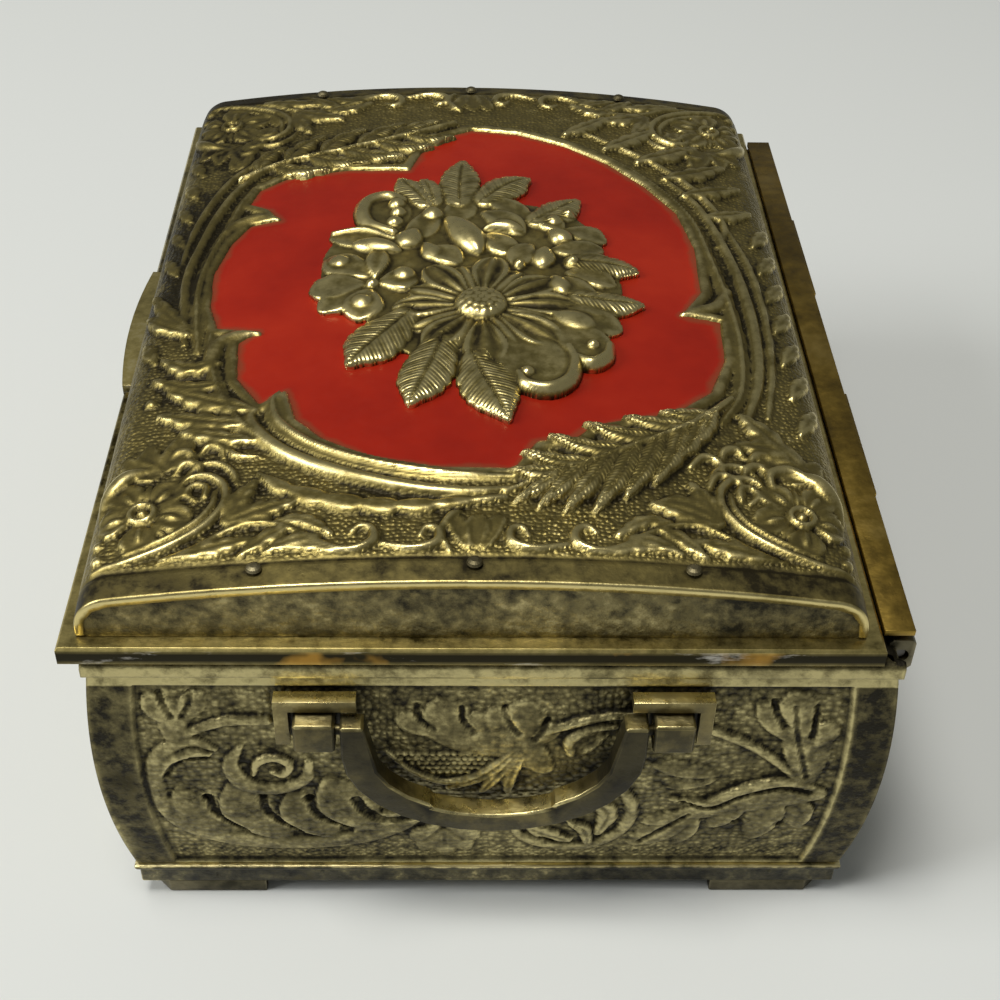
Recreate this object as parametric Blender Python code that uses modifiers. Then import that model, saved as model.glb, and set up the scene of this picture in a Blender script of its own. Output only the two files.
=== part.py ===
"""Footed trinket box: a cast bombe body on a plinth, a domed lid with a red enamel field, two drop handles.

Metres, +Z up. The origin is the middle of the bounding box at the underside of the feet. The short end
with the photographed handle faces -Y, the lid's thumb lift faces -X and the hinge runs along +X.
"""
import math

import bmesh
import bpy
from mathutils import Matrix, Vector

MM = 0.001

# Clearances
GAP = 0.30 * MM
FINE_GAP = 0.20 * MM

# How far a cutter reaches past the material, and how small edges are softened
OVERCUT = 2.0 * MM
EDGE_SOFTNESS = 0.3 * MM
WELD_DISTANCE = 0.01 * MM

# Body: how far it lies inside the lid's edge, and how far it is set towards the hinge
SIDE_OVERHANG = 0.2 * MM
END_OVERHANG = 0.7 * MM
BODY_SHIFT = 2.4 * MM
WALL_HEIGHT = 37.0 * MM
WALL_THICKNESS = 2.2 * MM
WALL_BATTER = 1.1 * MM
WALL_BULGE = 1.4 * MM
LIP_REACH = 0.5 * MM
LIP_HEIGHT = 2.2 * MM
LIP_EDGE = 0.4 * MM
MITRE_SEAM = 0.22 * MM
CORNER_BAND = 4.8 * MM
TOP_BAND = 3.6 * MM
PANEL_DEPTH = 0.5 * MM
BASE_THICKNESS = 1.5 * MM

# Plinth and feet
FOOT_HEIGHT = 2.2 * MM
FOOT_LENGTH = 12.2 * MM
FOOT_WIDTH = 3.0 * MM
FOOT_CORNER_CUT = 3.0 * MM
FOOT_INSET = 0.3 * MM
PLINTH_HEIGHT = 3.6 * MM
PLINTH_REACH = 0.4 * MM
PLINTH_BEAD = 0.6 * MM
PLINTH_STEP = 0.5 * MM
PLINTH_WIDTH = 4.3 * MM

# Lid
LID_WIDTH = 90.0 * MM
LID_LENGTH = 119.0 * MM
FLANGE_HEIGHT = 2.3 * MM
FLANGE_RING = 5.4 * MM
SIDE_LEDGE = 1.9 * MM
END_LEDGE = 1.8 * MM
TOP_THICKNESS = 1.0 * MM
GABLE_HEIGHT = 8.4 * MM
SHOULDER_RADIUS = 4.5 * MM
SHOULDER_RISE = 1.04 * MM
BAND_WIDTH = 3.5 * MM
BAND_RISE = 0.6 * MM
CROWN_RISE = 1.2 * MM
LIFT_LENGTH = 27.0 * MM
LIFT_REACH = 1.1 * MM
LIFT_HEIGHT = 3.2 * MM

# Enamel and bouquet
FRAME_SIDE_MARGIN = 6.9 * MM
FRAME_END_MARGIN = 11.2 * MM
FRAME_BEAD = 0.9 * MM
STRAND_TIP = 0.45
ENAMEL_RECESS = 0.5 * MM
ENAMEL_THICKNESS = 0.25 * MM
BOUQUET_BASE = 0.7 * MM
BOUQUET_HALF_WIDTH = 19.0 * MM
BOUQUET_HALF_LENGTH = 26.0 * MM
BOUQUET_CENTRE_Y = -1.5 * MM

# Lid rivets
RIVET_SPACING = 23.5 * MM
RIVET_SETBACK = 4.2 * MM
RIVET_HEAD_RADIUS = 0.9 * MM
RIVET_HEAD_HEIGHT = 0.5 * MM
RIVET_SHANK_RADIUS = 0.35 * MM
RIVET_GRIP = 2.5 * MM
POST_RADIUS = 1.1 * MM

# Hinge
HINGE_INSET = 3.2 * MM
RAIL_WIDTH = 3.0 * MM
RAIL_SINK = 1.0 * MM
RAIL_FACE = 1.6 * MM
RAIL_BEVEL = 2.0 * MM
RAIL_CREST = 2.3 * MM
RAIL_CHAMFER = 0.4 * MM
AXIS_DEPTH = 3.9 * MM
PIN_RADIUS = 0.65 * MM
PIN_RECESS = 0.5 * MM
LEAF_INSET = 0.4 * MM
LEAF_THICKNESS = 0.8 * MM
RAIL_KNUCKLE = 24.0 * MM
NOTCH_DEPTH = 2.15 * MM

# Handles
HANDLE_AXIS_DROP = 10.3 * MM
BAIL_HALF_WIDTH = 17.1 * MM
BAIL_DROP = 16.5 * MM
BAIL_CURVE_HEIGHT = 13.0 * MM
BAIL_SHOULDER = 3.5 * MM
BAIL_WAIST = 3.0 * MM
BAIL_WAIST_HALF = 7.0 * MM
BAIL_DEPTH = 2.7 * MM
BAIL_END_WIDTH = 2.6 * MM
BAIL_EDGE = 0.35 * MM
BAIL_STAND = 2.85 * MM
TRUNNION_RADIUS = 0.6 * MM
TRUNNION_LENGTH = 3.2 * MM
BOSS_CLEARANCE = 0.6 * MM
BOSS_WIDTH = 4.6 * MM
BOSS_HEIGHT = 4.3 * MM
BOSS_TOP = 1.6 * MM
BOSS_STAND = 4.1 * MM
PLATE_THICKNESS = 0.6 * MM
PLATE_SEAT = 0.45 * MM
PLATE_BAR = 1.6 * MM
PLATE_BAR_STAND = 1.9 * MM
PLATE_HEIGHT = 6.6 * MM
PLATE_RIM = 2.0 * MM
RIM_OVERHANG = 2.4 * MM
RIM_LAP = 0.15 * MM
PLATE_LAP = 0.5 * MM
TAIL_RADIUS = 1.0 * MM
TAIL_HEAD_RADIUS = 1.7 * MM
TAIL_HEAD_HEIGHT = 0.5 * MM

# Linings
LINING_THICKNESS = 1.0 * MM
LINING_SETBACK = 1.4 * MM
LINING_DROP = 2.0 * MM
FLOOR_PAD_HEIGHT = 1.6 * MM
LID_PAD_HEIGHT = 4.5 * MM
LID_PAD_RECESS = 0.7 * MM
PAD_BEVEL = 0.5 * MM

# Levels
PLINTH_BOTTOM = FOOT_HEIGHT + GAP
PLINTH_TOP = PLINTH_BOTTOM + PLINTH_HEIGHT
WALL_BOTTOM = PLINTH_TOP + GAP
WALL_TOP = WALL_BOTTOM + WALL_HEIGHT
FLANGE_BOTTOM = WALL_TOP + GAP
FLANGE_TOP = FLANGE_BOTTOM + FLANGE_HEIGHT
BASE_TOP = WALL_BOTTOM + BASE_THICKNESS

# Plan: the lid's centre and the body's, so that the bounding box is centred on the origin
BODY_WIDTH = LID_WIDTH - 2 * SIDE_OVERHANG
BODY_LENGTH = LID_LENGTH - 2 * END_OVERHANG
RAIL_OUTER = BODY_SHIFT + BODY_WIDTH / 2 - RAIL_SINK + RAIL_WIDTH
LIFT_OUTER = LID_WIDTH / 2 + LIFT_REACH
LID_X = (LIFT_OUTER - RAIL_OUTER) / 2
BODY_X = LID_X + BODY_SHIFT
HINGE_X = LID_X + RAIL_OUTER - RAIL_WIDTH / 2
HINGE_Z = FLANGE_TOP - AXIS_DEPTH
HINGE_LENGTH = LID_LENGTH - 2 * HINGE_INSET
LEAF_KNUCKLE = (HINGE_LENGTH - 3 * RAIL_KNUCKLE) / 2
HANDLE_Z = FLANGE_TOP - HANDLE_AXIS_DROP
HANDLE_Y = BODY_LENGTH / 2 + BAIL_STAND
GABLE_Y = LID_LENGTH / 2 - END_LEDGE
DOME_HALF_WIDTH = LID_WIDTH / 2 - SIDE_LEDGE
DOME_BASE = FLANGE_TOP + GAP
LEAF_WIDTH = RAIL_OUTER - LEAF_INSET - LID_WIDTH / 2 - GAP

# Dome: the drop from its ridge to the shoulders' centres gives the radius of the crown
SHOULDER_RUN = DOME_HALF_WIDTH - SHOULDER_RADIUS
SHOULDER_DROP = GABLE_HEIGHT - SHOULDER_RISE
CROWN_RADIUS = (SHOULDER_RUN ** 2 + SHOULDER_DROP ** 2 - SHOULDER_RADIUS ** 2) / (
    2 * (SHOULDER_DROP - SHOULDER_RADIUS))
FRAME_HALF_WIDTH = DOME_HALF_WIDTH - FRAME_SIDE_MARGIN
FRAME_HALF_LENGTH = GABLE_Y - BAND_WIDTH - FRAME_END_MARGIN

# The red field's outline, from its lower right corner clockwise, in shares of the scroll frame's half sizes
CARTOUCHE = [
    (0.124, -0.935), (-0.138, -0.930), (-0.331, -0.884), (-0.483, -0.802), (-0.580, -0.709),
    (-0.622, -0.581), (-0.704, -0.640), (-0.796, -0.512), (-0.815, -0.337), (-0.754, -0.288),
    (-0.898, -0.256), (-0.939, -0.140), (-0.956, 0.047), (-0.912, 0.221), (-0.851, 0.326), (-0.740, 0.349),
    (-0.787, 0.419), (-0.870, 0.465), (-0.843, 0.558), (-0.718, 0.642), (-0.497, 0.660), (-0.249, 0.647),
    (-0.207, 0.767), (-0.124, 0.884), (0.000, 0.944), (0.193, 0.921), (0.387, 0.844), (0.552, 0.735),
    (0.691, 0.593), (0.801, 0.430), (0.845, 0.209), (0.834, -0.047), (0.746, -0.181), (0.884, -0.200),
    (0.873, -0.395), (0.801, -0.558), (0.663, -0.670), (0.387, -0.744), (0.331, -0.800), (0.199, -0.823),
]

# Scrolls of the frame round the red field, in shares of the scroll frame's half sizes
FRAME_SCROLLS = [
    [(-0.92, -0.24), (-0.90, -0.42), (-0.81, -0.62), (-0.63, -0.80), (-0.39, -0.93), (-0.14, -0.98),
     (0.13, -0.99)],
    [(-0.82, -0.65), (-0.69, -0.78), (-0.51, -0.91), (-0.25, -1.01), (0.00, -1.04), (0.17, -1.02)],
    [(-0.95, -0.37), (-0.98, -0.21), (-0.99, -0.02), (-0.97, 0.16), (-0.93, 0.33), (-0.90, 0.47),
     (-0.85, 0.60)],
    [(-1.03, -0.14), (-1.05, 0.05), (-1.02, 0.23), (-0.98, 0.42), (-0.92, 0.59), (-0.80, 0.72)],
    [(0.82, -0.70), (0.90, -0.56), (0.93, -0.35), (0.93, -0.12), (0.90, 0.14), (0.85, 0.40), (0.73, 0.60),
     (0.57, 0.76), (0.38, 0.88), (0.14, 0.95), (-0.04, 0.97)],
    [(0.90, -0.69), (0.97, -0.49), (1.00, -0.26), (0.99, 0.00), (0.96, 0.26), (0.89, 0.49), (0.77, 0.67)],
    [(0.86, -0.60), (0.69, -0.73), (0.54, -0.82), (0.38, -0.89), (0.17, -0.97)],
    [(-0.93, 0.64), (-0.72, 0.73), (-0.44, 0.80), (-0.22, 0.88), (-0.07, 0.96)],
]

# Leaflets of the two large leaves: middle in shares of the scroll frame's half sizes, length and width in
# millimetres and heading in degrees
FRAME_LEAFLETS = [
    (0.58, -0.73, 9.0, 4.2, 181.0), (0.36, -0.84, 9.4, 4.0, 178.0), (0.31, -0.98, 8.6, 4.0, 234.0),
    (0.44, -0.97, 11.4, 4.4, 247.0), (0.56, -0.93, 11.6, 4.4, 258.0), (0.69, -0.86, 10.8, 4.4, 268.0),
    (0.80, -0.80, 9.6, 4.0, 277.0), (-0.57, 0.69, 6.4, 3.8, -55.0), (-0.44, 0.70, 7.4, 3.8, -60.0),
    (-0.31, 0.72, 8.6, 3.8, -62.0), (-0.64, 0.83, 7.4, 3.6, 79.0), (-0.49, 0.87, 7.6, 3.8, 72.0),
    (-0.34, 0.90, 7.6, 3.6, 67.0), (-0.21, 0.94, 6.6, 3.2, 63.0),
]

# One corner of the lid, from its flower's middle: scrolls and leaves in shares of the flower's radius, the
# leaves with a length and width in the same shares and a heading in degrees
CORNER_SCROLLS = [
    [(0.73, 1.04), (1.15, 1.29), (1.62, 1.15), (1.88, 0.65), (1.75, -0.12), (1.19, -0.83), (0.33, -1.27),
     (-0.65, -1.48)],
]
CORNER_LEAVES = [
    (2.54, -0.33, 1.36, 0.66, 14.0),
    (2.08, 0.20, 1.20, 0.62, 76.0),
    (1.83, -1.29, 1.66, 0.48, 12.0),
    (0.20, 1.60, 1.20, 0.62, 120.0),
    (3.40, -1.05, 1.20, 0.40, -25.0),
]
SHELL_FLUTES = [(-2.0, 100.0), (0.0, 90.0), (2.0, 80.0)]
SHELL_LENGTH = 6.4 * MM
SHELL_WIDTH = 2.4 * MM
SHELL_SETBACK = 7.1 * MM
END_SCROLL = [(10.0, 4.8), (7.0, 4.3), (4.4, 4.9), (3.6, 6.7), (4.6, 7.7), (5.6, 6.4)]
LID_LEAF_HEIGHT = 0.8 * MM

# Ornament of a wall's panel: places as (along, up) in shares of the panel's half length and of its height,
# leaves with a length and width in millimetres and a heading in degrees
END_SCROLLS = [
    [(-0.57, 0.88), (-0.72, 0.88), (-0.87, 0.83), (-0.98, 0.71), (-1.00, 0.54), (-0.96, 0.40)],
    [(-0.75, 0.67), (-0.74, 0.57), (-0.67, 0.48), (-0.56, 0.50), (-0.51, 0.61), (-0.53, 0.71)],
    [(0.13, 0.79), (0.21, 0.87), (0.34, 0.91), (0.49, 0.89), (0.62, 0.83), (0.75, 0.72), (0.87, 0.58)],
    [(0.07, 0.33), (0.13, 0.19), (0.25, 0.14), (0.39, 0.22), (0.42, 0.37), (0.36, 0.49), (0.24, 0.52)],
]
END_LEAVES = [
    (-0.80, 0.35, 11.4, 6.0, 257.0), (-0.69, 0.32, 11.2, 5.0, 272.0), (-0.57, 0.30, 11.4, 5.2, 286.0),
    (-0.46, 0.34, 12.2, 5.8, 308.0), (-0.37, 0.42, 13.6, 6.6, 330.0), (-0.95, 0.86, 5.6, 3.0, 125.0),
    (-0.87, 0.90, 5.8, 3.0, 65.0), (-0.16, 0.81, 7.6, 4.0, 115.0), (0.02, 0.84, 6.8, 4.0, 100.0),
    (0.09, 0.60, 8.0, 4.8, 290.0), (0.84, 0.80, 12.4, 4.4, 103.0), (0.76, 0.46, 16.0, 6.0, 183.0),
    (0.79, 0.30, 12.0, 5.6, 215.0), (0.88, 0.28, 11.6, 5.2, 240.0), (-0.20, 0.17, 7.0, 3.8, 215.0),
    (-0.10, 0.16, 6.6, 3.8, 300.0),
]

# The same for one half of a long wall, which the other half mirrors
SIDE_SCROLLS = [
    [(-0.59, 0.88), (-0.70, 0.88), (-0.81, 0.83), (-0.89, 0.71), (-0.91, 0.54), (-0.88, 0.40)],
    [(-0.72, 0.67), (-0.72, 0.57), (-0.66, 0.48), (-0.59, 0.50), (-0.54, 0.61), (-0.56, 0.71)],
    [(-0.15, 0.48), (-0.22, 0.52), (-0.26, 0.42), (-0.22, 0.32), (-0.16, 0.37)],
]
SIDE_LEAVES = [
    (-0.76, 0.35, 11.4, 6.0, 257.0), (-0.68, 0.32, 11.2, 5.0, 272.0), (-0.59, 0.30, 11.4, 5.2, 286.0),
    (-0.51, 0.34, 12.2, 5.8, 308.0), (-0.44, 0.42, 13.6, 6.6, 330.0), (-0.87, 0.86, 5.6, 3.0, 125.0),
    (-0.81, 0.90, 5.8, 3.0, 65.0), (-0.27, 0.86, 6.0, 3.2, 130.0), (-0.21, 0.86, 6.0, 3.2, 60.0),
    (-0.14, 0.81, 7.6, 4.0, 115.0), (-0.27, 0.19, 8.0, 5.0, 250.0), (-0.15, 0.30, 9.0, 4.8, 226.0),
]
WALL_SCROLL_BEAD = 0.75 * MM
WALL_LEAF_HEIGHT = 0.75 * MM

# Bouquet: blossoms as (x, y) in shares of its half sizes and a radius in millimetres, leaves as (x, y) in
# shares, a length and width in millimetres and a heading in degrees
DAISY = (0.063, -0.288, 11.5)
DAISY_PETALS = 11
BLOSSOMS = [
    (-0.711, 0.038, 8.5),
    (-0.553, 0.558, 7.5),
    (0.184, 0.558, 8.5),
    (0.658, 0.212, 8.5),
    (0.711, -0.481, 7.0),
]
BLOSSOM_PETALS = 5
LEAVES = [
    (-0.079, 0.962, 11.0, 6.0, 90.0),
    (0.316, 0.885, 9.0, 5.0, 55.0),
    (0.737, 0.654, 9.0, 5.0, 40.0),
    (1.000, 0.135, 8.0, 5.0, 10.0),
    (0.974, -0.231, 8.0, 5.0, -20.0),
    (0.447, -0.827, 9.0, 6.0, -60.0),
    (0.132, -0.981, 10.5, 6.0, -75.0),
    (-0.263, -0.885, 10.5, 6.0, -100.0),
    (-0.632, -0.596, 10.0, 7.0, -125.0),
]
PETAL_HEIGHT = 1.6 * MM
DISC_RADIUS = 3.3 * MM
DISC_HEIGHT = 2.1 * MM
LEAF_HEIGHT = 1.1 * MM
CORNER_FLOWER_SIDE = 7.6 * MM
CORNER_FLOWER_END = 12.2 * MM
CORNER_FLOWER_RADIUS = 5.2 * MM
CORNER_PETALS = 6
CORNER_PETAL_HEIGHT = 0.8 * MM
CORNER_DISC_RADIUS = 1.3 * MM
CORNER_DISC_HEIGHT = 1.0 * MM
CORNER_SINK = 0.2 * MM

# Materials: base colour, metallic, roughness
BRASS = ((0.36, 0.26, 0.09, 1.0), 1.0, 0.38)
AGED_BRASS = ((0.22, 0.17, 0.08, 1.0), 1.0, 0.48)
GREY_BRASS = ((0.25, 0.22, 0.14, 1.0), 1.0, 0.52)
STEEL = ((0.34, 0.33, 0.31, 1.0), 1.0, 0.35)
ENAMEL = ((0.52, 0.02, 0.01, 1.0), 0.0, 0.32)
VELVET = ((0.20, 0.015, 0.02, 1.0), 0.0, 0.9)

ROUND_SEGMENTS = 16


def clear_scene():
    for obj in list(bpy.data.objects):
        bpy.data.objects.remove(obj, do_unlink=True)


def new_collection(name):
    collection = bpy.data.collections.new(name)
    bpy.context.scene.collection.children.link(collection)
    return collection


clear_scene()
PARTS = new_collection("footed_trinket_box")
CUTTERS = new_collection("cutters")


def finish(obj, look):
    """Give a part its own Principled material and smooth shading with sharp edges kept."""
    colour, metallic, roughness = look
    material = bpy.data.materials.new(obj.name + "_material")
    material.use_nodes = True
    shader = material.node_tree.nodes["Principled BSDF"]
    shader.inputs["Base Color"].default_value = colour
    shader.inputs["Metallic"].default_value = metallic
    shader.inputs["Roughness"].default_value = roughness
    obj.data.materials.clear()
    obj.data.materials.append(material)
    obj.data.shade_smooth()
    obj.data.set_sharp_from_angle(angle=math.radians(35))
    return obj


def from_bmesh(name, mesh_builder, collection):
    bmesh.ops.recalc_face_normals(mesh_builder, faces=mesh_builder.faces)
    mesh = bpy.data.meshes.new(name)
    mesh_builder.to_mesh(mesh)
    mesh_builder.free()
    obj = bpy.data.objects.new(name, mesh)
    collection.objects.link(obj)
    return obj


def box(name, low, high, collection):
    """A box between two opposite corners."""
    low, high = Vector(low), Vector(high)
    size = high - low
    builder = bmesh.new()
    scale = Matrix.Diagonal((size.x, size.y, size.z, 1.0))
    bmesh.ops.create_cube(builder, size=1.0, matrix=Matrix.Translation((low + high) / 2) @ scale)
    return from_bmesh(name, builder, collection)


def cylinder(name, start, end, radius, collection):
    """A round bar between two points."""
    start, end = Vector(start), Vector(end)
    turn = (end - start).to_track_quat("Z", "Y").to_matrix().to_4x4()
    builder = bmesh.new()
    bmesh.ops.create_cone(builder, cap_ends=True, segments=ROUND_SEGMENTS, radius1=radius, radius2=radius,
                          depth=(end - start).length, matrix=Matrix.Translation((start + end) / 2) @ turn)
    return from_bmesh(name, builder, collection)


def turned(name, profile, location, collection):
    """A turned shape: the profile of (radius, height) points runs down its outer side."""
    builder = bmesh.new()
    verts = [builder.verts.new((radius, 0.0, z)) for radius, z in profile]
    for start, end in zip(verts, verts[1:]):
        builder.edges.new((start, end))
    mesh = bpy.data.meshes.new(name)
    builder.to_mesh(mesh)
    builder.free()
    obj = bpy.data.objects.new(name, mesh)
    collection.objects.link(obj)
    obj.location = location
    screw = obj.modifiers.new("turn", "SCREW")
    screw.angle = math.tau
    screw.steps = ROUND_SEGMENTS
    screw.render_steps = ROUND_SEGMENTS
    screw.use_merge_vertices = True
    screw.merge_threshold = WELD_DISTANCE
    return obj


def curve_to_mesh(name, curve_object, collection):
    """Turn a curve object into a mesh object with its caps welded."""
    bpy.context.view_layer.update()
    evaluated = curve_object.evaluated_get(bpy.context.evaluated_depsgraph_get())
    builder = bmesh.new()
    builder.from_mesh(bpy.data.meshes.new_from_object(evaluated))
    bmesh.ops.remove_doubles(builder, verts=builder.verts, dist=WELD_DISTANCE)
    obj = from_bmesh(name, builder, collection)
    obj.matrix_world = curve_object.matrix_world
    bpy.data.objects.remove(curve_object, do_unlink=True)
    return obj


def flat_outline(name, points, thickness, matrix, collection):
    """A flat outline given in its own XY plane, extruded by half its thickness to each side."""
    curve = bpy.data.curves.new(name, "CURVE")
    curve.dimensions = "2D"
    curve.fill_mode = "BOTH"
    curve.extrude = thickness / 2
    spline = curve.splines.new("POLY")
    spline.points.add(len(points) - 1)
    for point, (x, y) in zip(spline.points, points):
        point.co = (x, y, 0.0, 1.0)
    spline.use_cyclic_u = True
    outline = bpy.data.objects.new(name + "_outline", curve)
    outline.matrix_world = matrix
    collection.objects.link(outline)
    return curve_to_mesh(name, outline, collection)


def boolean(obj, other, operation, self_overlap=False):
    """Cut or join with another object, which then only guides the shape."""
    modifier = obj.modifiers.new(operation.lower() + "_" + other.name, "BOOLEAN")
    modifier.object = other
    modifier.operation = operation
    modifier.solver = "EXACT"
    modifier.use_self = self_overlap
    other.hide_render = True
    other.display_type = "WIRE"
    return obj


def bevel(obj, width, segments=2, angle=40.0):
    modifier = obj.modifiers.new("rounded_edges", "BEVEL")
    modifier.width = width
    modifier.segments = segments
    modifier.limit_method = "ANGLE"
    modifier.angle_limit = math.radians(angle)
    return obj


def set_origin(obj, point):
    """Move an object's origin without moving its shape."""
    obj.data.transform(Matrix.Translation(-Vector(point)))
    obj.location = point


def attach(obj, empty):
    obj.parent = empty
    obj.matrix_parent_inverse = Matrix.Translation(-empty.location)


def joint_empty(name, location):
    empty = bpy.data.objects.new(name, None)
    empty.location = location
    empty.empty_display_size = 10 * MM
    PARTS.objects.link(empty)
    return empty


def mitred_ring(name, profile, half_x, half_y, centre_x, collection):
    """A closed moulding round a rectangle: profile points are (reach outwards, height)."""
    builder = bmesh.new()
    corners = [(1, 1), (-1, 1), (-1, -1), (1, -1)]
    rings = []
    for side_x, side_y in corners:
        ring = [builder.verts.new((centre_x + side_x * (half_x + reach), side_y * (half_y + reach), z))
                for reach, z in profile]
        rings.append(ring)
    count = len(profile)
    for index, ring in enumerate(rings):
        after = rings[(index + 1) % len(rings)]
        for k in range(count):
            nxt = (k + 1) % count
            builder.faces.new((ring[k], ring[nxt], after[nxt], after[k]))
    return from_bmesh(name, builder, collection)


def mitred_length(name, profile, half_along, half_out, end_inset, matrix, collection):
    """A straight moulding with mitred ends, running along its X with its face towards -Y."""
    builder = bmesh.new()
    ends = []
    for side in (-1, 1):
        ends.append([builder.verts.new((side * (half_along + reach - end_inset), -(half_out + reach), z))
                     for reach, z in profile])
    count = len(profile)
    for k in range(count):
        nxt = (k + 1) % count
        builder.faces.new((ends[0][k], ends[0][nxt], ends[1][nxt], ends[1][k]))
    builder.faces.new(ends[0])
    builder.faces.new(ends[1])
    builder.transform(matrix)
    return from_bmesh(name, builder, collection)


def face_reach(z):
    """How far the wall's outer face lies beyond its top edge: a batter with an even bulge."""
    share = (z - WALL_BOTTOM) / (WALL_TOP - LIP_HEIGHT - WALL_BOTTOM)
    share = min(max(share, 0.0), 1.0)
    return -WALL_BATTER * (1.0 - share) + 4.0 * WALL_BULGE * share * (1.0 - share)


def wall_profile(outer_shift, inner_shift, low, high, lip=0.0, steps=8):
    """Outer side from bottom to top, then the inner side back down."""
    levels = [low + (high - low) * k / steps for k in range(steps + 1)]
    outer = [(face_reach(z) + outer_shift, z) for z in levels]
    inner = [(face_reach(z) + inner_shift, z) for z in reversed(levels)]
    if lip is None:
        return outer + inner
    rim = [(lip, high + LIP_HEIGHT - LIP_EDGE), (lip, high + LIP_HEIGHT), (inner_shift, high + LIP_HEIGHT)]
    return outer + rim + inner


def add_ellipsoid(builder, centre, semi_axes, heading, rings, segments):
    scale = Matrix.Diagonal((*semi_axes, 1.0))
    turn = Matrix.Rotation(heading, 4, "Z")
    bmesh.ops.create_uvsphere(builder, u_segments=segments, v_segments=rings, radius=1.0,
                              matrix=Matrix.Translation(centre) @ turn @ scale)


def add_strand(builder, points, radius):
    """A round strand through points, thinner towards its ends."""
    curve = bpy.data.curves.new("strand", "CURVE")
    curve.dimensions = "3D"
    curve.bevel_depth = radius
    curve.bevel_resolution = 1
    curve.use_fill_caps = True
    spline = curve.splines.new("POLY")
    spline.points.add(len(points) - 1)
    for k, (point, place) in enumerate(zip(spline.points, points)):
        share = k / (len(points) - 1)
        point.co = (*place, 1.0)
        point.radius = STRAND_TIP + (1 - STRAND_TIP) * math.sin(math.pi * share)
    guide = bpy.data.objects.new("strand_guide", curve)
    CUTTERS.objects.link(guide)
    strand = curve_to_mesh("strand", guide, CUTTERS)
    builder.from_mesh(strand.data)
    bpy.data.objects.remove(strand, do_unlink=True)


def panel_ornament(name, half_along, half_out, matrix, scrolls, leaves, mirrored):
    """Scrolls and leaves that stand half out of a wall's sunk panel."""
    panel_half = half_along - CORNER_BAND
    panel_height = WALL_TOP - TOP_BAND - WALL_BOTTOM
    lay_flat = Matrix.Rotation(math.radians(90), 4, "X")
    builder = bmesh.new()
    for hand in (1, -1) if mirrored else (1,):

        def place(along, up):
            z = WALL_BOTTOM + up * panel_height
            return Vector((hand * along * panel_half, -(half_out + face_reach(z) - PANEL_DEPTH), z))

        for scroll in scrolls:
            add_strand(builder, [place(*point) for point in scroll], WALL_SCROLL_BEAD)
        for along, up, length, width, heading in leaves:
            leaf = bmesh.new()
            turn = math.radians(heading if hand > 0 else 180 - heading)
            add_ellipsoid(leaf, (0, 0, 0), (length * MM / 2, width * MM / 2, WALL_LEAF_HEIGHT), turn, 4, 6)
            leaf.transform(Matrix.Translation(place(along, up)) @ lay_flat)
            mesh = bpy.data.meshes.new("leaf")
            leaf.to_mesh(mesh)
            leaf.free()
            builder.from_mesh(mesh)
    builder.transform(matrix)
    return from_bmesh(name + "_ornament", builder, CUTTERS)


def wall(name, half_along, half_out, heading, lip, scrolls, leaves, mirrored):
    """One cast wall with its smooth corner bands and its sunk ornament panel."""
    matrix = Matrix.Translation((BODY_X, 0, 0)) @ Matrix.Rotation(math.radians(heading), 4, "Z")
    high = WALL_TOP - LIP_HEIGHT
    profile = wall_profile(0.0, -WALL_THICKNESS, WALL_BOTTOM, high, lip)
    obj = mitred_length(name, profile, half_along, half_out, MITRE_SEAM, matrix, PARTS)
    panel = wall_profile(OVERCUT, -PANEL_DEPTH, WALL_BOTTOM - OVERCUT, WALL_TOP - TOP_BAND, None)
    panel_shape = mitred_length(name + "_panel", panel, half_along, half_out, CORNER_BAND, matrix, CUTTERS)
    boolean(obj, panel_shape, "DIFFERENCE")
    ornament = panel_ornament(name, half_along, half_out, matrix, scrolls, leaves, mirrored)
    boolean(obj, ornament, "UNION", self_overlap=True)
    return finish(obj, GREY_BRASS)


def build_body():
    half_x, half_y = BODY_WIDTH / 2, BODY_LENGTH / 2
    right_end = wall("right_end_wall", half_x, half_y, 0, LIP_REACH, END_SCROLLS, END_LEAVES, False)
    left_end = wall("left_end_wall", half_x, half_y, 180, LIP_REACH, END_SCROLLS, END_LEAVES, False)
    wall("front_wall", half_y, half_x, -90, LIP_REACH, SIDE_SCROLLS, SIDE_LEAVES, True)
    back = wall("back_wall", half_y, half_x, 90, 0.0, SIDE_SCROLLS, SIDE_LEAVES, True)
    rail_inner = HINGE_X - RAIL_WIDTH / 2
    rail_bottom = HINGE_Z - RAIL_FACE - RAIL_BEVEL
    half = HINGE_LENGTH / 2 + GAP
    seat = box("rail_seat", (rail_inner - GAP, -half, rail_bottom - GAP),
               (HINGE_X + RAIL_WIDTH, half, WALL_TOP + OVERCUT), CUTTERS)
    boolean(back, seat, "DIFFERENCE")
    inner_x = half_x - WALL_BATTER - WALL_THICKNESS - GAP
    inner_y = half_y - WALL_BATTER - WALL_THICKNESS - GAP
    base_corner = (BODY_X - inner_x, -inner_y, WALL_BOTTOM)
    base = box("base_plate", base_corner, (BODY_X + inner_x, inner_y, BASE_TOP), PARTS)
    finish(base, AGED_BRASS)
    return right_end, left_end


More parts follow.
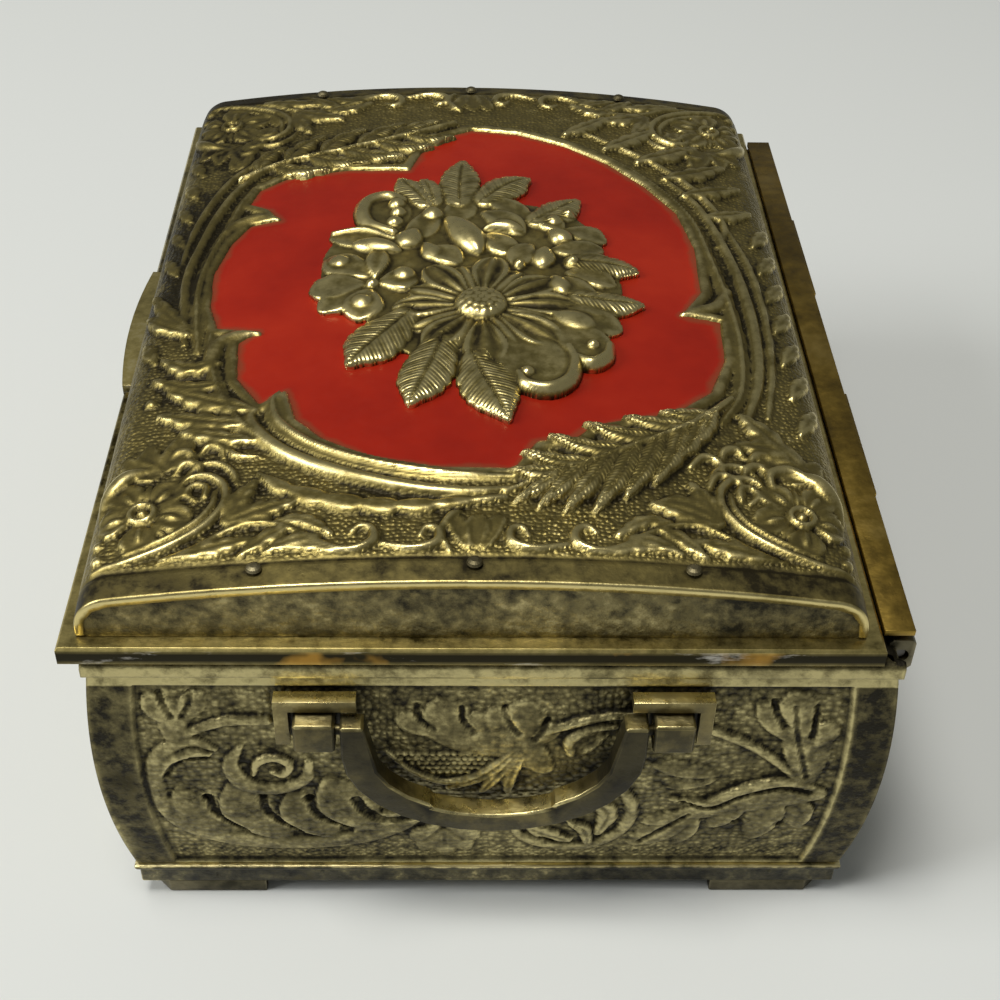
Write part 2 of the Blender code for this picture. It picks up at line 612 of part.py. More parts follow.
def build_plinth():
    edge_x = BODY_WIDTH / 2 - WALL_BATTER + PLINTH_REACH
    edge_y = BODY_LENGTH / 2 - WALL_BATTER + PLINTH_REACH
    profile = [(0.0, PLINTH_TOP), (0.0, PLINTH_TOP - PLINTH_BEAD),
               (-PLINTH_STEP, PLINTH_TOP - PLINTH_BEAD - PLINTH_STEP), (-PLINTH_STEP, PLINTH_BOTTOM),
               (-PLINTH_WIDTH, PLINTH_BOTTOM), (-PLINTH_WIDTH, PLINTH_TOP)]
    finish(mitred_ring("plinth_moulding", profile, edge_x, edge_y, BODY_X, PARTS), BRASS)
    foot_x = edge_x - PLINTH_STEP - FOOT_INSET
    foot_y = edge_y - PLINTH_STEP - FOOT_INSET
    cut, reach, width = FOOT_CORNER_CUT, FOOT_CORNER_CUT + FOOT_LENGTH, FOOT_WIDTH
    plan = [(cut, 0.0), (reach, 0.0), (reach, width), (width + cut / 2, width), (width, width + cut / 2),
            (width, reach), (0.0, reach), (0.0, cut)]
    names = {(-1, -1): "foot_front_right", (-1, 1): "foot_front_left", (1, -1): "foot_back_right",
             (1, 1): "foot_back_left"}
    for (side_x, side_y), name in names.items():
        outline = [(BODY_X + side_x * (foot_x - px), side_y * (foot_y - py)) for px, py in plan]
        middle = Matrix.Translation((0, 0, FOOT_HEIGHT / 2))
        finish(flat_outline(name, outline, FOOT_HEIGHT, middle, PARTS), AGED_BRASS)


def crown_peak(y):
    """Height of the dome's ridge above the flange: a sloping end band, then a low crown."""
    inner = GABLE_Y - BAND_WIDTH
    if abs(y) >= inner:
        return GABLE_HEIGHT + BAND_RISE * (GABLE_Y - abs(y)) / BAND_WIDTH
    return GABLE_HEIGHT + BAND_RISE + CROWN_RISE * (1.0 - (y / inner) ** 2)


def dome_height(x, y):
    """Height of the lid's outer surface above the ground, x from the lid's middle."""
    peak = crown_peak(y)
    tangent_x = SHOULDER_RUN * CROWN_RADIUS / (CROWN_RADIUS - SHOULDER_RADIUS)
    if abs(x) <= tangent_x:
        return FLANGE_TOP + peak - CROWN_RADIUS + math.sqrt(CROWN_RADIUS ** 2 - x ** 2)
    out = min(abs(x) - SHOULDER_RUN, SHOULDER_RADIUS)
    return FLANGE_TOP + peak - SHOULDER_DROP + math.sqrt(SHOULDER_RADIUS ** 2 - out ** 2)


def arch_section(y, shoulder_steps=4, crown_steps=7):
    """Points of the dome's cross-section from its left foot to its right foot."""
    lean = math.asin(SHOULDER_RUN / (CROWN_RADIUS - SHOULDER_RADIUS))
    ridge_z = FLANGE_TOP + crown_peak(y)
    centre_z = ridge_z - SHOULDER_DROP
    right = []
    for k in range(crown_steps):
        angle = lean * k / crown_steps
        right.append((CROWN_RADIUS * math.sin(angle), ridge_z - CROWN_RADIUS * (1 - math.cos(angle))))
    for k in range(shoulder_steps + 1):
        angle = lean + (math.pi / 2 - lean) * k / shoulder_steps
        shoulder_x = SHOULDER_RUN + SHOULDER_RADIUS * math.sin(angle)
        right.append((shoulder_x, centre_z + SHOULDER_RADIUS * math.cos(angle)))
    right.append((DOME_HALF_WIDTH, DOME_BASE))
    left = [(-x, z) for x, z in reversed(right[1:])]
    return left + right


def dome_shell():
    """The lid's top: an open dome with upright gables, thickened inwards."""
    stations = [GABLE_Y, GABLE_Y - BAND_WIDTH]
    crown_steps = 5
    stations += [(GABLE_Y - BAND_WIDTH) * (1 - k / crown_steps) for k in range(1, crown_steps + 1)]
    stations += [-y for y in reversed(stations[:-1])]
    builder = bmesh.new()
    rows = [[builder.verts.new((LID_X + x, y, z)) for x, z in arch_section(y)] for y in stations]
    for row, after in zip(rows, rows[1:]):
        for k in range(len(row) - 1):
            builder.faces.new((row[k], row[k + 1], after[k + 1], after[k]))
    builder.faces.new(rows[0])
    builder.faces.new(rows[-1])
    obj = from_bmesh("lid_top", builder, PARTS)
    solidify = obj.modifiers.new("wall", "SOLIDIFY")
    solidify.thickness = TOP_THICKNESS
    solidify.offset = -1.0
    solidify.use_even_offset = True
    return obj


def dome_slab(name, low, high, collection, half_x, half_y, steps_x, steps_y):
    """A thick sheet that follows the dome between two heights above its surface."""
    builder = bmesh.new()
    bmesh.ops.create_grid(builder, x_segments=steps_x, y_segments=steps_y, size=1.0)
    for vert in builder.verts:
        x, y = vert.co.x * half_x, vert.co.y * half_y
        vert.co = (LID_X + x, y, dome_height(x, y) + low)
    bottom = list(builder.faces)
    extruded = bmesh.ops.extrude_face_region(builder, geom=bottom)
    raised = [item for item in extruded["geom"] if isinstance(item, bmesh.types.BMVert)]
    bmesh.ops.translate(builder, verts=raised, vec=(0, 0, high - low))
    return from_bmesh(name, builder, collection)


def cartouche_prism(name, inset):
    """An upright prism of the red field's outline, drawn in towards its middle."""
    points = [Vector((x * FRAME_HALF_WIDTH, y * FRAME_HALF_LENGTH)) for x, y in CARTOUCHE]
    drawn_in = []
    for index, point in enumerate(points):
        along = (points[(index + 1) % len(points)] - points[index - 1]).normalized()
        drawn_in.append(point + inset * Vector((along.y, -along.x)))
    middle = Matrix.Translation((LID_X, 0, FLANGE_TOP + GABLE_HEIGHT))
    outline = [(p.x, p.y) for p in drawn_in]
    return flat_outline(name, outline, 2 * GABLE_HEIGHT, middle, CUTTERS)


def on_dome(x, y, sink=0.0):
    """A place on the lid's outer surface, x from the lid's middle."""
    return Vector((LID_X + x, y, dome_height(x, y) - sink))


def add_dome_leaf(builder, x, y, length, width, heading):
    semi_axes = (length / 2, width / 2, LID_LEAF_HEIGHT)
    add_ellipsoid(builder, on_dome(x, y, CORNER_SINK), semi_axes, heading, 4, 6)


def lid_ornament():
    """The frame's scrolls, the two large leaves, the corners' flowers and sprays and the end shells."""
    builder = bmesh.new()
    for scroll in FRAME_SCROLLS:
        points = [on_dome(x * FRAME_HALF_WIDTH, y * FRAME_HALF_LENGTH) for x, y in scroll]
        add_strand(builder, points, FRAME_BEAD)
    for x, y, length, width, heading in FRAME_LEAFLETS:
        add_dome_leaf(builder, x * FRAME_HALF_WIDTH, y * FRAME_HALF_LENGTH, length * MM, width * MM,
                      math.radians(heading))
    for side_x in (-1, 1):
        for side_y in (-1, 1):
            add_corner(builder, side_x, side_y)
    for side_y in (-1, 1):
        shell_y = GABLE_Y - SHELL_SETBACK
        for x, heading in SHELL_FLUTES:
            add_dome_leaf(builder, x * MM, side_y * shell_y, SHELL_LENGTH, SHELL_WIDTH,
                          math.radians(side_y * -heading))
        for side_x in (-1, 1):
            points = [on_dome(side_x * x * MM, side_y * (GABLE_Y - up * MM)) for x, up in END_SCROLL]
            add_strand(builder, points, CORNER_PETAL_HEIGHT)
    return from_bmesh("lid_ornament", builder, CUTTERS)


def add_corner(builder, side_x, side_y):
    """A flower with its scroll and leaves, drawn for the near left corner and mirrored to the others."""
    x = DOME_HALF_WIDTH - CORNER_FLOWER_SIDE
    y = GABLE_Y - CORNER_FLOWER_END
    radius = CORNER_FLOWER_RADIUS
    add_blossom(builder, side_x * x, side_y * y, radius, CORNER_PETALS, CORNER_PETAL_HEIGHT,
                CORNER_DISC_RADIUS, CORNER_DISC_HEIGHT, -CORNER_SINK, 6)
    for scroll in CORNER_SCROLLS:
        points = [on_dome(side_x * (x - dx * radius), side_y * (y - dy * radius)) for dx, dy in scroll]
        add_strand(builder, points, CORNER_PETAL_HEIGHT)
    for dx, dy, length, width, heading in CORNER_LEAVES:
        add_dome_leaf(builder, side_x * (x - dx * radius), side_y * (y - dy * radius), length * radius,
                      width * radius, side_x * side_y * math.radians(heading))


def rivet_places():
    y = GABLE_Y - RIVET_SETBACK + BAND_WIDTH / 2
    return [(column * RIVET_SPACING, side * y) for side in (-1, 1) for column in (-1, 0, 1)]


def build_rivet(name, x, y, foot, head):
    """A turned rivet: a straight shank under a low round head, placed upright."""
    crown = 0.45
    profile = [(0.0, head + RIVET_HEAD_HEIGHT), (RIVET_HEAD_RADIUS * crown, head + RIVET_HEAD_HEIGHT),
               (RIVET_HEAD_RADIUS * 0.85, head + RIVET_HEAD_HEIGHT * 0.6), (RIVET_HEAD_RADIUS, head),
               (RIVET_SHANK_RADIUS, head), (RIVET_SHANK_RADIUS, foot), (0.0, foot)]
    return turned(name, profile, (x, y, 0.0), PARTS)


def add_blossom(builder, x, y, radius, petals, petal_height, disc_radius, disc_height, sink, segments=8):
    """A ring of petals round a raised disc, laid on the dome."""
    for k in range(petals):
        heading = 2 * math.pi * k / petals + 0.3
        reach = 0.56 * radius
        px, py = x + reach * math.cos(heading), y + reach * math.sin(heading)
        width = min(0.42 * radius, math.pi * 0.56 * radius / petals * 1.15)
        centre = (LID_X + px, py, dome_height(px, py) + sink)
        add_ellipsoid(builder, centre, (0.46 * radius, width, petal_height), heading, 4, segments)
    centre = (LID_X + x, y, dome_height(x, y) + sink)
    add_ellipsoid(builder, centre, (disc_radius, disc_radius, disc_height), 0.0, 4, segments)


def bouquet_point(x_share, y_share):
    return x_share * BOUQUET_HALF_WIDTH, BOUQUET_CENTRE_Y + y_share * BOUQUET_HALF_LENGTH


def build_bouquet():
    """The applied bunch of flowers: a low oval back with petals and leaves standing on it."""
    base = ENAMEL_THICKNESS - ENAMEL_RECESS + GAP + GAP
    back = dome_slab("bouquet_relief", base, base + BOUQUET_BASE, PARTS, BOUQUET_HALF_WIDTH + OVERCUT,
                     BOUQUET_HALF_LENGTH + 2 * OVERCUT, 8, 10)
    steps = 28
    turns = [2 * math.pi * k / steps for k in range(steps)]
    oval = [bouquet_point(math.cos(turn), math.sin(turn)) for turn in turns]
    middle = Matrix.Translation((LID_X, 0, FLANGE_TOP + GABLE_HEIGHT))
    trim = flat_outline("bouquet_outline", oval, 2 * GABLE_HEIGHT, middle, CUTTERS)
    boolean(back, trim, "INTERSECT")
    builder = bmesh.new()
    sink = base + PETAL_HEIGHT * 0.2
    x, y = bouquet_point(*DAISY[:2])
    add_blossom(builder, x, y, DAISY[2] * MM, DAISY_PETALS, PETAL_HEIGHT, DISC_RADIUS, DISC_HEIGHT, sink)
    for x_share, y_share, radius in BLOSSOMS:
        x, y = bouquet_point(x_share, y_share)
        add_blossom(builder, x, y, radius * MM, BLOSSOM_PETALS, PETAL_HEIGHT * 0.85, DISC_RADIUS * 0.5,
                    DISC_HEIGHT * 0.8, sink)
    for x_share, y_share, length, width, heading in LEAVES:
        px, py = bouquet_point(x_share, y_share)
        centre = (LID_X + px, py, dome_height(px, py) + sink)
        semi_axes = (length * MM / 2, width * MM / 2, LEAF_HEIGHT)
        add_ellipsoid(builder, centre, semi_axes, math.radians(heading), 4, 8)
    forms = from_bmesh("bouquet_forms", builder, CUTTERS)
    boolean(back, forms, "UNION", self_overlap=True)
    floor = dome_slab("bouquet_floor", base - 3 * OVERCUT, base, CUTTERS, BOUQUET_HALF_WIDTH + 5 * OVERCUT,
                      BOUQUET_HALF_LENGTH + 5 * OVERCUT, 16, 12)
    boolean(back, floor, "DIFFERENCE")
    return finish(back, BRASS)


def build_lid(axis):
    ring_profile = [(0.0, FLANGE_BOTTOM), (0.0, FLANGE_TOP - EDGE_SOFTNESS), (-EDGE_SOFTNESS, FLANGE_TOP),
                    (-FLANGE_RING, FLANGE_TOP), (-FLANGE_RING, FLANGE_BOTTOM)]
    frame = mitred_ring("lid_frame", ring_profile, LID_WIDTH / 2, LID_LENGTH / 2, LID_X, PARTS)
    steps = 12
    chord = LIFT_LENGTH / 2
    radius = (chord ** 2 + LIFT_REACH ** 2) / (2 * LIFT_REACH)
    span = math.asin(chord / radius)
    tab_edge = LID_X - LID_WIDTH / 2 - LIFT_REACH
    turns = [span * k / steps for k in range(-steps, steps + 1)]
    arc = [(tab_edge + radius * (1 - math.cos(turn)), radius * math.sin(turn)) for turn in turns]
    tab_root = LID_X - LID_WIDTH / 2 + SIDE_LEDGE - GAP
    tab = [(tab_root, -chord)] + arc + [(tab_root, chord)]
    tab_middle = Matrix.Translation((0, 0, FLANGE_BOTTOM + EDGE_SOFTNESS + LIFT_HEIGHT / 2))
    lift = flat_outline("thumb_lift", tab, LIFT_HEIGHT, tab_middle, CUTTERS)
    boolean(frame, lift, "UNION")
    top = dome_shell()
    bore_radius = RIVET_SHANK_RADIUS + GAP
    rivets = []
    for index, (x, y) in enumerate(rivet_places()):
        surface = dome_height(x, y)
        foot = surface - TOP_THICKNESS - RIVET_GRIP
        post_top = surface - TOP_THICKNESS - GAP - FINE_GAP
        post_low = FLANGE_TOP - FLANGE_HEIGHT / 2
        post = cylinder("post_%d" % index, (LID_X + x, y, post_low), (LID_X + x, y, post_top),
                        POST_RADIUS, CUTTERS)
        boolean(frame, post, "UNION")
        bore = cylinder("bore_%d" % index, (LID_X + x, y, foot - GAP), (LID_X + x, y, surface + OVERCUT),
                        bore_radius, CUTTERS)
        boolean(frame, bore, "DIFFERENCE")
        boolean(top, bore, "DIFFERENCE")
        rivets.append(build_rivet("lid_rivet_%d" % (index + 1), LID_X + x, y, foot, surface + FINE_GAP))
    boolean(top, lid_ornament(), "UNION", self_overlap=True)
    field = (FRAME_HALF_WIDTH + OVERCUT, FRAME_HALF_LENGTH, 16, 12)
    recess = dome_slab("enamel_recess", -ENAMEL_RECESS, 2 * OVERCUT, CUTTERS, *field)
    boolean(recess, cartouche_prism("recess_outline", 0.0), "INTERSECT")
    boolean(top, recess, "DIFFERENCE")
    enamel_low = GAP - ENAMEL_RECESS
    enamel = dome_slab("enamel_field", enamel_low, enamel_low + ENAMEL_THICKNESS, PARTS, *field)
    boolean(enamel, cartouche_prism("enamel_outline", GAP), "INTERSECT")
    pad_x = LID_WIDTH / 2 - FLANGE_RING - GAP
    pad_y = LID_LENGTH / 2 - FLANGE_RING - GAP
    pad_low = FLANGE_BOTTOM + LID_PAD_RECESS
    pad_high = pad_low + LID_PAD_HEIGHT
    pad = box("lid_lining", (LID_X - pad_x, -pad_y, pad_low), (LID_X + pad_x, pad_y, pad_high), PARTS)
    bevel(pad, PAD_BEVEL)
    bouquet = build_bouquet()
    looks = [(frame, BRASS), (top, AGED_BRASS), (enamel, ENAMEL), (pad, VELVET)]
    for obj, look in looks:
        finish(obj, look)
    for obj in (frame, top, enamel, pad, bouquet, *rivets):
        attach(obj, axis)


def leaf_knuckle_spans():
    first = HINGE_LENGTH / 2 - RAIL_KNUCKLE
    return [(-first, -first + LEAF_KNUCKLE), (first - LEAF_KNUCKLE, first)]


def build_hinge(axis):
    half = HINGE_LENGTH / 2
    left, right = HINGE_X - RAIL_WIDTH / 2, HINGE_X + RAIL_WIDTH / 2
    rail_bottom = HINGE_Z - RAIL_FACE - RAIL_BEVEL
    section = [(left, rail_bottom), (right - RAIL_BEVEL, rail_bottom),
               (right, HINGE_Z - RAIL_FACE), (right, HINGE_Z + RAIL_CREST - RAIL_CHAMFER),
               (right - RAIL_CHAMFER, HINGE_Z + RAIL_CREST), (left + RAIL_CHAMFER, HINGE_Z + RAIL_CREST),
               (left, HINGE_Z + RAIL_CREST - RAIL_CHAMFER)]
    upright = Matrix.Rotation(math.radians(90), 4, "X")
    rail = flat_outline("hinge_rail", section, HINGE_LENGTH, upright, PARTS)
    for index, (start, end) in enumerate(leaf_knuckle_spans()):
        notch = box("notch_%d" % index, (left - OVERCUT, start - GAP, HINGE_Z - NOTCH_DEPTH),
                    (right + OVERCUT, end + GAP, HINGE_Z + RAIL_CREST + OVERCUT), CUTTERS)
        boolean(rail, notch, "DIFFERENCE")
    bore = cylinder("pin_bore", (HINGE_X, -half - OVERCUT, HINGE_Z), (HINGE_X, half + OVERCUT, HINGE_Z),
                    PIN_RADIUS + GAP, CUTTERS)
    boolean(rail, bore, "DIFFERENCE")
    finish(rail, AGED_BRASS)
    pin_end = half - PIN_RECESS
    pin = cylinder("hinge_pin", (HINGE_X, -pin_end, HINGE_Z), (HINGE_X, pin_end, HINGE_Z), PIN_RADIUS, PARTS)
    set_origin(pin, (HINGE_X, 0, HINGE_Z))
    finish(pin, STEEL)
    leaf_left = LID_X + LID_WIDTH / 2 + GAP
    leaf_low = FLANGE_TOP - LEAF_THICKNESS
    leaf = box("hinge_leaf", (leaf_left, -half, leaf_low), (leaf_left + LEAF_WIDTH, half, FLANGE_TOP), PARTS)
    turns = [math.pi * k / (ROUND_SEGMENTS / 2) for k in range(ROUND_SEGMENTS // 2 + 1)]
    arm_top = FLANGE_TOP - LEAF_THICKNESS / 2
    rounded = [(HINGE_X - RAIL_WIDTH / 2 * math.cos(turn), HINGE_Z - RAIL_WIDTH / 2 * math.sin(turn))
               for turn in turns]
    knuckle_section = [(left, arm_top)] + rounded + [(right, arm_top)]
    for index, (start, end) in enumerate(leaf_knuckle_spans()):
        middle = Matrix.Translation((0, (start + end) / 2, 0)) @ upright
        knuckle = flat_outline("leaf_knuckle_%d" % index, knuckle_section, end - start, middle, CUTTERS)
        boolean(leaf, knuckle, "UNION")
    boolean(leaf, bore, "DIFFERENCE")
    finish(leaf, BRASS)
    attach(leaf, axis)


def bail_outline():
    """Front view of a bail about its pivot line: outer curve, then the stepped inner curve back."""
    curve_z = BAIL_CURVE_HEIGHT - BAIL_DROP
    steps = 14
    top = BAIL_DEPTH / 2
    half, height = BAIL_HALF_WIDTH, BAIL_CURVE_HEIGHT
    turns = [math.pi * k / steps for k in range(steps + 1)]
    outer = [(half * math.cos(turn), curve_z - height * math.sin(turn)) for turn in turns]
    inner_a = BAIL_HALF_WIDTH - BAIL_SHOULDER
    inner_b = BAIL_CURVE_HEIGHT - BAIL_SHOULDER
    waist_b = BAIL_CURVE_HEIGHT - BAIL_WAIST
    end_inner = BAIL_HALF_WIDTH - BAIL_END_WIDTH
    shoulder_turn = math.acos(BAIL_WAIST_HALF / inner_a)
    waist_a = BAIL_HALF_WIDTH - BAIL_WAIST
    waist_turn = math.acos(BAIL_WAIST_HALF / waist_a)
    turns = [shoulder_turn * k / 4 for k in range(5)]
    side = [(inner_a * math.cos(turn), curve_z - inner_b * math.sin(turn)) for turn in turns]
    waist = []
    for k in range(9):
        turn = waist_turn + (math.pi - 2 * waist_turn) * k / 8
        waist.append((waist_a * math.cos(turn), curve_z - waist_b * math.sin(turn)))
    left_side = [(-x, z) for x, z in reversed(side)]
    inner = [(end_inner, top)] + side + waist + left_side + [(-end_inner, top)]
    return [(BAIL_HALF_WIDTH, top)] + outer + [(-BAIL_HALF_WIDTH, top)] + list(reversed(inner))


def end_matrix(side):
    """Places a piece drawn for the -Y end at either end."""
    turn = 0 if side < 0 else 180
    return Matrix.Translation((BODY_X, 0, 0)) @ Matrix.Rotation(math.radians(turn), 4, "Z")


def build_bail(name, side, axis):
    upright = Matrix.Rotation(math.radians(90), 4, "X")
    placed = end_matrix(side) @ Matrix.Translation((0, -HANDLE_Y, HANDLE_Z)) @ upright
    bail = flat_outline(name, bail_outline(), BAIL_DEPTH, placed, PARTS)
    bail.data.transform(bail.matrix_world)
    bail.matrix_world = Matrix.Identity(4)
    bevel(bail, BAIL_EDGE, 1, 30.0)
    for end in (-1, 1):
        start = end_matrix(side) @ Vector((end * (BAIL_HALF_WIDTH - BAIL_END_WIDTH / 2), -HANDLE_Y, HANDLE_Z))
        stop = end_matrix(side) @ Vector((end * (BAIL_HALF_WIDTH + TRUNNION_LENGTH), -HANDLE_Y, HANDLE_Z))
        pin = cylinder("%s_trunnion_%d" % (name, end), start, stop, TRUNNION_RADIUS, CUTTERS)
        boolean(bail, pin, "UNION")
    set_origin(bail, axis.location)
    finish(bail, BRASS)
    attach(bail, axis)


def build_plate(name, side, hand, wall_object):
    """A handle post: a let-in plate with a raised corner rim, a square boss and a riveted tail."""
    place = end_matrix(side)
    outer = BODY_LENGTH / 2
    back = outer + PLATE_SEAT
    boss_low = BAIL_HALF_WIDTH + BOSS_CLEARANCE
    boss_high = boss_low + BOSS_WIDTH
    plate_high = boss_high + PLATE_RIM
    plate_top = HANDLE_Z + BOSS_TOP + PLATE_RIM

    def block(label, x_low, x_high, y_low, y_high, z_low, z_high, collection):
        corner_a = place @ Vector((hand * x_low, -y_low, z_low))
        corner_b = place @ Vector((hand * x_high, -y_high, z_high))
        low = [min(a, b) for a, b in zip(corner_a, corner_b)]
        high = [max(a, b) for a, b in zip(corner_a, corner_b)]
        return box(name + label, low, high, collection)

    plate_low_x = boss_low - PLATE_LAP
    plate_low_z = plate_top - PLATE_HEIGHT
    plate = block("", plate_low_x, plate_high, back, back + PLATE_THICKNESS, plate_low_z, plate_top, PARTS)
    bar_front = back + PLATE_BAR_STAND
    rim_low_x = boss_low - RIM_OVERHANG
    rim_top, rim_side, rim_low_z = plate_top + RIM_LAP, plate_high + RIM_LAP, plate_low_z - RIM_LAP
    bar_x, bar_z = rim_side - PLATE_BAR, rim_top - PLATE_BAR
    rim_plan = [(rim_low_x, rim_top), (rim_side, rim_top), (rim_side, rim_low_z), (bar_x, rim_low_z),
                (bar_x, bar_z), (rim_low_x, bar_z)]
    rim_depth = bar_front - back - RIM_LAP
    upright = Matrix.Rotation(math.pi / 2, 4, "X")
    rim_middle = place @ Matrix.Translation((0, rim_depth / 2 - bar_front, 0)) @ upright
    rim = flat_outline(name + "_rim", [(hand * x, z) for x, z in rim_plan], rim_depth, rim_middle, CUTTERS)
    boss_bottom = HANDLE_Z + BOSS_TOP - BOSS_HEIGHT
    boss = block("_boss", boss_low, boss_high, back + RIM_LAP, outer + BOSS_STAND, boss_bottom,
                 HANDLE_Z + BOSS_TOP, CUTTERS)
    bevel(boss, EDGE_SOFTNESS, 1, 30.0)
    centre_x = hand * (boss_low + boss_high) / 2
    tail_z = HANDLE_Z + BOSS_TOP - BOSS_HEIGHT / 2
    inner_face = outer + face_reach(tail_z) - WALL_THICKNESS - GAP
    tail_start = place @ Vector((centre_x, -back - PLATE_THICKNESS / 2, tail_z))
    tail_end = place @ Vector((centre_x, TAIL_HEAD_HEIGHT / 2 - inner_face, tail_z))
    head_start = place @ Vector((centre_x, -inner_face, tail_z))
    head_end = place @ Vector((centre_x, TAIL_HEAD_HEIGHT - inner_face, tail_z))
    tail = cylinder(name + "_tail", tail_start, tail_end, TAIL_RADIUS, CUTTERS)
    head = cylinder(name + "_tail_head", head_start, head_end, TAIL_HEAD_RADIUS, CUTTERS)
    bore = cylinder(name + "_bore", place @ Vector((hand * (boss_low - OVERCUT), -HANDLE_Y, HANDLE_Z)),
                    place @ Vector((hand * (BAIL_HALF_WIDTH + TRUNNION_LENGTH + GAP), -HANDLE_Y, HANDLE_Z)),
                    TRUNNION_RADIUS + GAP, CUTTERS)
    for piece in (rim, boss, tail, head):
        boolean(plate, piece, "UNION")
    boolean(plate, bore, "DIFFERENCE")
    finish(plate, AGED_BRASS)
    seat_lap = RIM_LAP + GAP
    seat = block("_seat", boss_low - RIM_OVERHANG - GAP, plate_high + seat_lap, back - GAP, back + OVERCUT,
                 plate_low_z - seat_lap, plate_top + seat_lap, CUTTERS)
    hole_end = WALL_THICKNESS + OVERCUT - outer
    hole = cylinder(name + "_hole", place @ Vector((centre_x, -outer - OVERCUT, tail_z)),
                    place @ Vector((centre_x, hole_end, tail_z)), TAIL_RADIUS + GAP, CUTTERS)
    boolean(wall_object, seat, "DIFFERENCE")
    boolean(wall_object, hole, "DIFFERENCE")


def build_handles(right_end, left_end):
    ends = [("right", -1, right_end), ("left", 1, left_end)]
    for label, side, wall_object in ends:
        axis = joint_empty(label + "_handle_axis", (BODY_X, side * HANDLE_Y, HANDLE_Z))
        build_bail(label + "_handle_bail", side, axis)
        for hand in (-1, 1):
            depth_name = "front" if hand * -side < 0 else "back"
            build_plate("%s_handle_%s_post" % (label, depth_name), side, hand, wall_object)


def build_linings():
    """Velvet-covered boards standing on the base, and the padded floor between them."""
    outer_x = BODY_WIDTH / 2 - WALL_THICKNESS - LINING_SETBACK
    outer_y = BODY_LENGTH / 2 - WALL_THICKNESS - LINING_SETBACK
    low, high = BASE_TOP + GAP, WALL_TOP - LINING_DROP
    inner_x, inner_y = outer_x - LINING_THICKNESS, outer_y - LINING_THICKNESS
    end_x = inner_x - GAP
    boards = {
        "front_lining": ((BODY_X - outer_x, -outer_y, low), (BODY_X - inner_x, outer_y, high)),
        "back_lining": ((BODY_X + inner_x, -outer_y, low), (BODY_X + outer_x, outer_y, high)),
        "right_end_lining": ((BODY_X - end_x, -outer_y, low), (BODY_X + end_x, -inner_y, high)),
        "left_end_lining": ((BODY_X - end_x, inner_y, low), (BODY_X + end_x, outer_y, high)),
        "floor_pad": ((BODY_X - end_x, GAP - inner_y, low),
                      (BODY_X + end_x, inner_y - GAP, low + FLOOR_PAD_HEIGHT)),
    }
    for name, (corner_a, corner_b) in boards.items():
        board = box(name, corner_a, corner_b, PARTS)
        bevel(board, EDGE_SOFTNESS, 1)
        finish(board, VELVET)


def main():
    lid_axis = joint_empty("lid_axis", (HINGE_X, 0, HINGE_Z))
    right_end, left_end = build_body()
    build_plinth()
    build_hinge(lid_axis)
    build_lid(lid_axis)
    build_handles(right_end, left_end)
    build_linings()


main()
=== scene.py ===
"""The looks of a footed trinket box: chased brass relief, red enamel, velvet inside. Metres, +Z up."""
import math

import bmesh
import bpy
import numpy as np
from mathutils import Matrix, Vector


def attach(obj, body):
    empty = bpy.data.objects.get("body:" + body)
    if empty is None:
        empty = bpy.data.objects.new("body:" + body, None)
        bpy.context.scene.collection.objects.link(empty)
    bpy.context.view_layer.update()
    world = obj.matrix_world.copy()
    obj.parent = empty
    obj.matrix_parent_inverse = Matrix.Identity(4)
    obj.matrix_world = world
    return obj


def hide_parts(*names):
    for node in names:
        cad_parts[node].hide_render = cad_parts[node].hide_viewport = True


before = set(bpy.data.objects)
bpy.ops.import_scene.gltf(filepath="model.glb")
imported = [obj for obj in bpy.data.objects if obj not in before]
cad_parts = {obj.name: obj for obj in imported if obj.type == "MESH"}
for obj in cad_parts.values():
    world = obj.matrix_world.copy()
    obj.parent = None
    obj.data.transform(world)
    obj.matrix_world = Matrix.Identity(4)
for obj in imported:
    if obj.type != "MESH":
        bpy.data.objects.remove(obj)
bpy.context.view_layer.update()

MM = 0.001

# A plate's plain back has every eighth row and column of its fine face, and one value of each attribute
BACK_STEP, BACK_VALUE = 8, 0.3

# Sizes of the box, in millimetres. The lid and the body have their middles at LID_X and BODY_X
LID_X, BODY_X = -1.55, 0.85
BODY_HALF, BODY_LONG_HALF = 44.8, 58.8
FLANGE_TOP = 46.0
WALL_LOW, WALL_TOP, WALL_THICK = 6.4, 43.4, 2.2
WALL_BATTER, WALL_BULGE, LIP_HEIGHT, LIP_REACH = 1.1, 1.4, 2.2, 0.5
TOP_BAND, CORNER_BAND, MITRE_GAP, LIP_ROUND, PANEL_DEPTH = 3.6, 4.8, 0.04, 0.8, 0.5
DOME_BASE = 46.3
DOME_HALF, GABLE_Y, BAND = 43.1, 57.7, 3.5
SHOULDER_R, SHOULDER_RISE, GABLE_HEIGHT, BAND_RISE, CROWN_RISE = 4.5, 1.04, 8.4, 0.6, 1.2
RUN = DOME_HALF - SHOULDER_R
DROP = GABLE_HEIGHT - SHOULDER_RISE
CROWN_R = (RUN ** 2 + DROP ** 2 - SHOULDER_R ** 2) / (2 * (DROP - SHOULDER_R))
LEAN = math.asin(RUN / (CROWN_R - SHOULDER_R))
ARC_CROWN = CROWN_R * LEAN
ARC_END = ARC_CROWN + SHOULDER_R * (math.pi / 2 - LEAN)
ARC_FOOT = ARC_END + SHOULDER_RISE - (DOME_BASE - FLANGE_TOP)
LID_SHEET, EDGE_ROUND, FIELD_DEPTH, GABLE_SETBACK = 1.0, 0.35, 0.5, 0.22
RIVETS_X, RIVETS_Y = (-23.5, 0.0, 23.5), 55.25
LINING_LOW, LINING_HIGH, LINING_THICK = 8.2, 41.4, 1.0
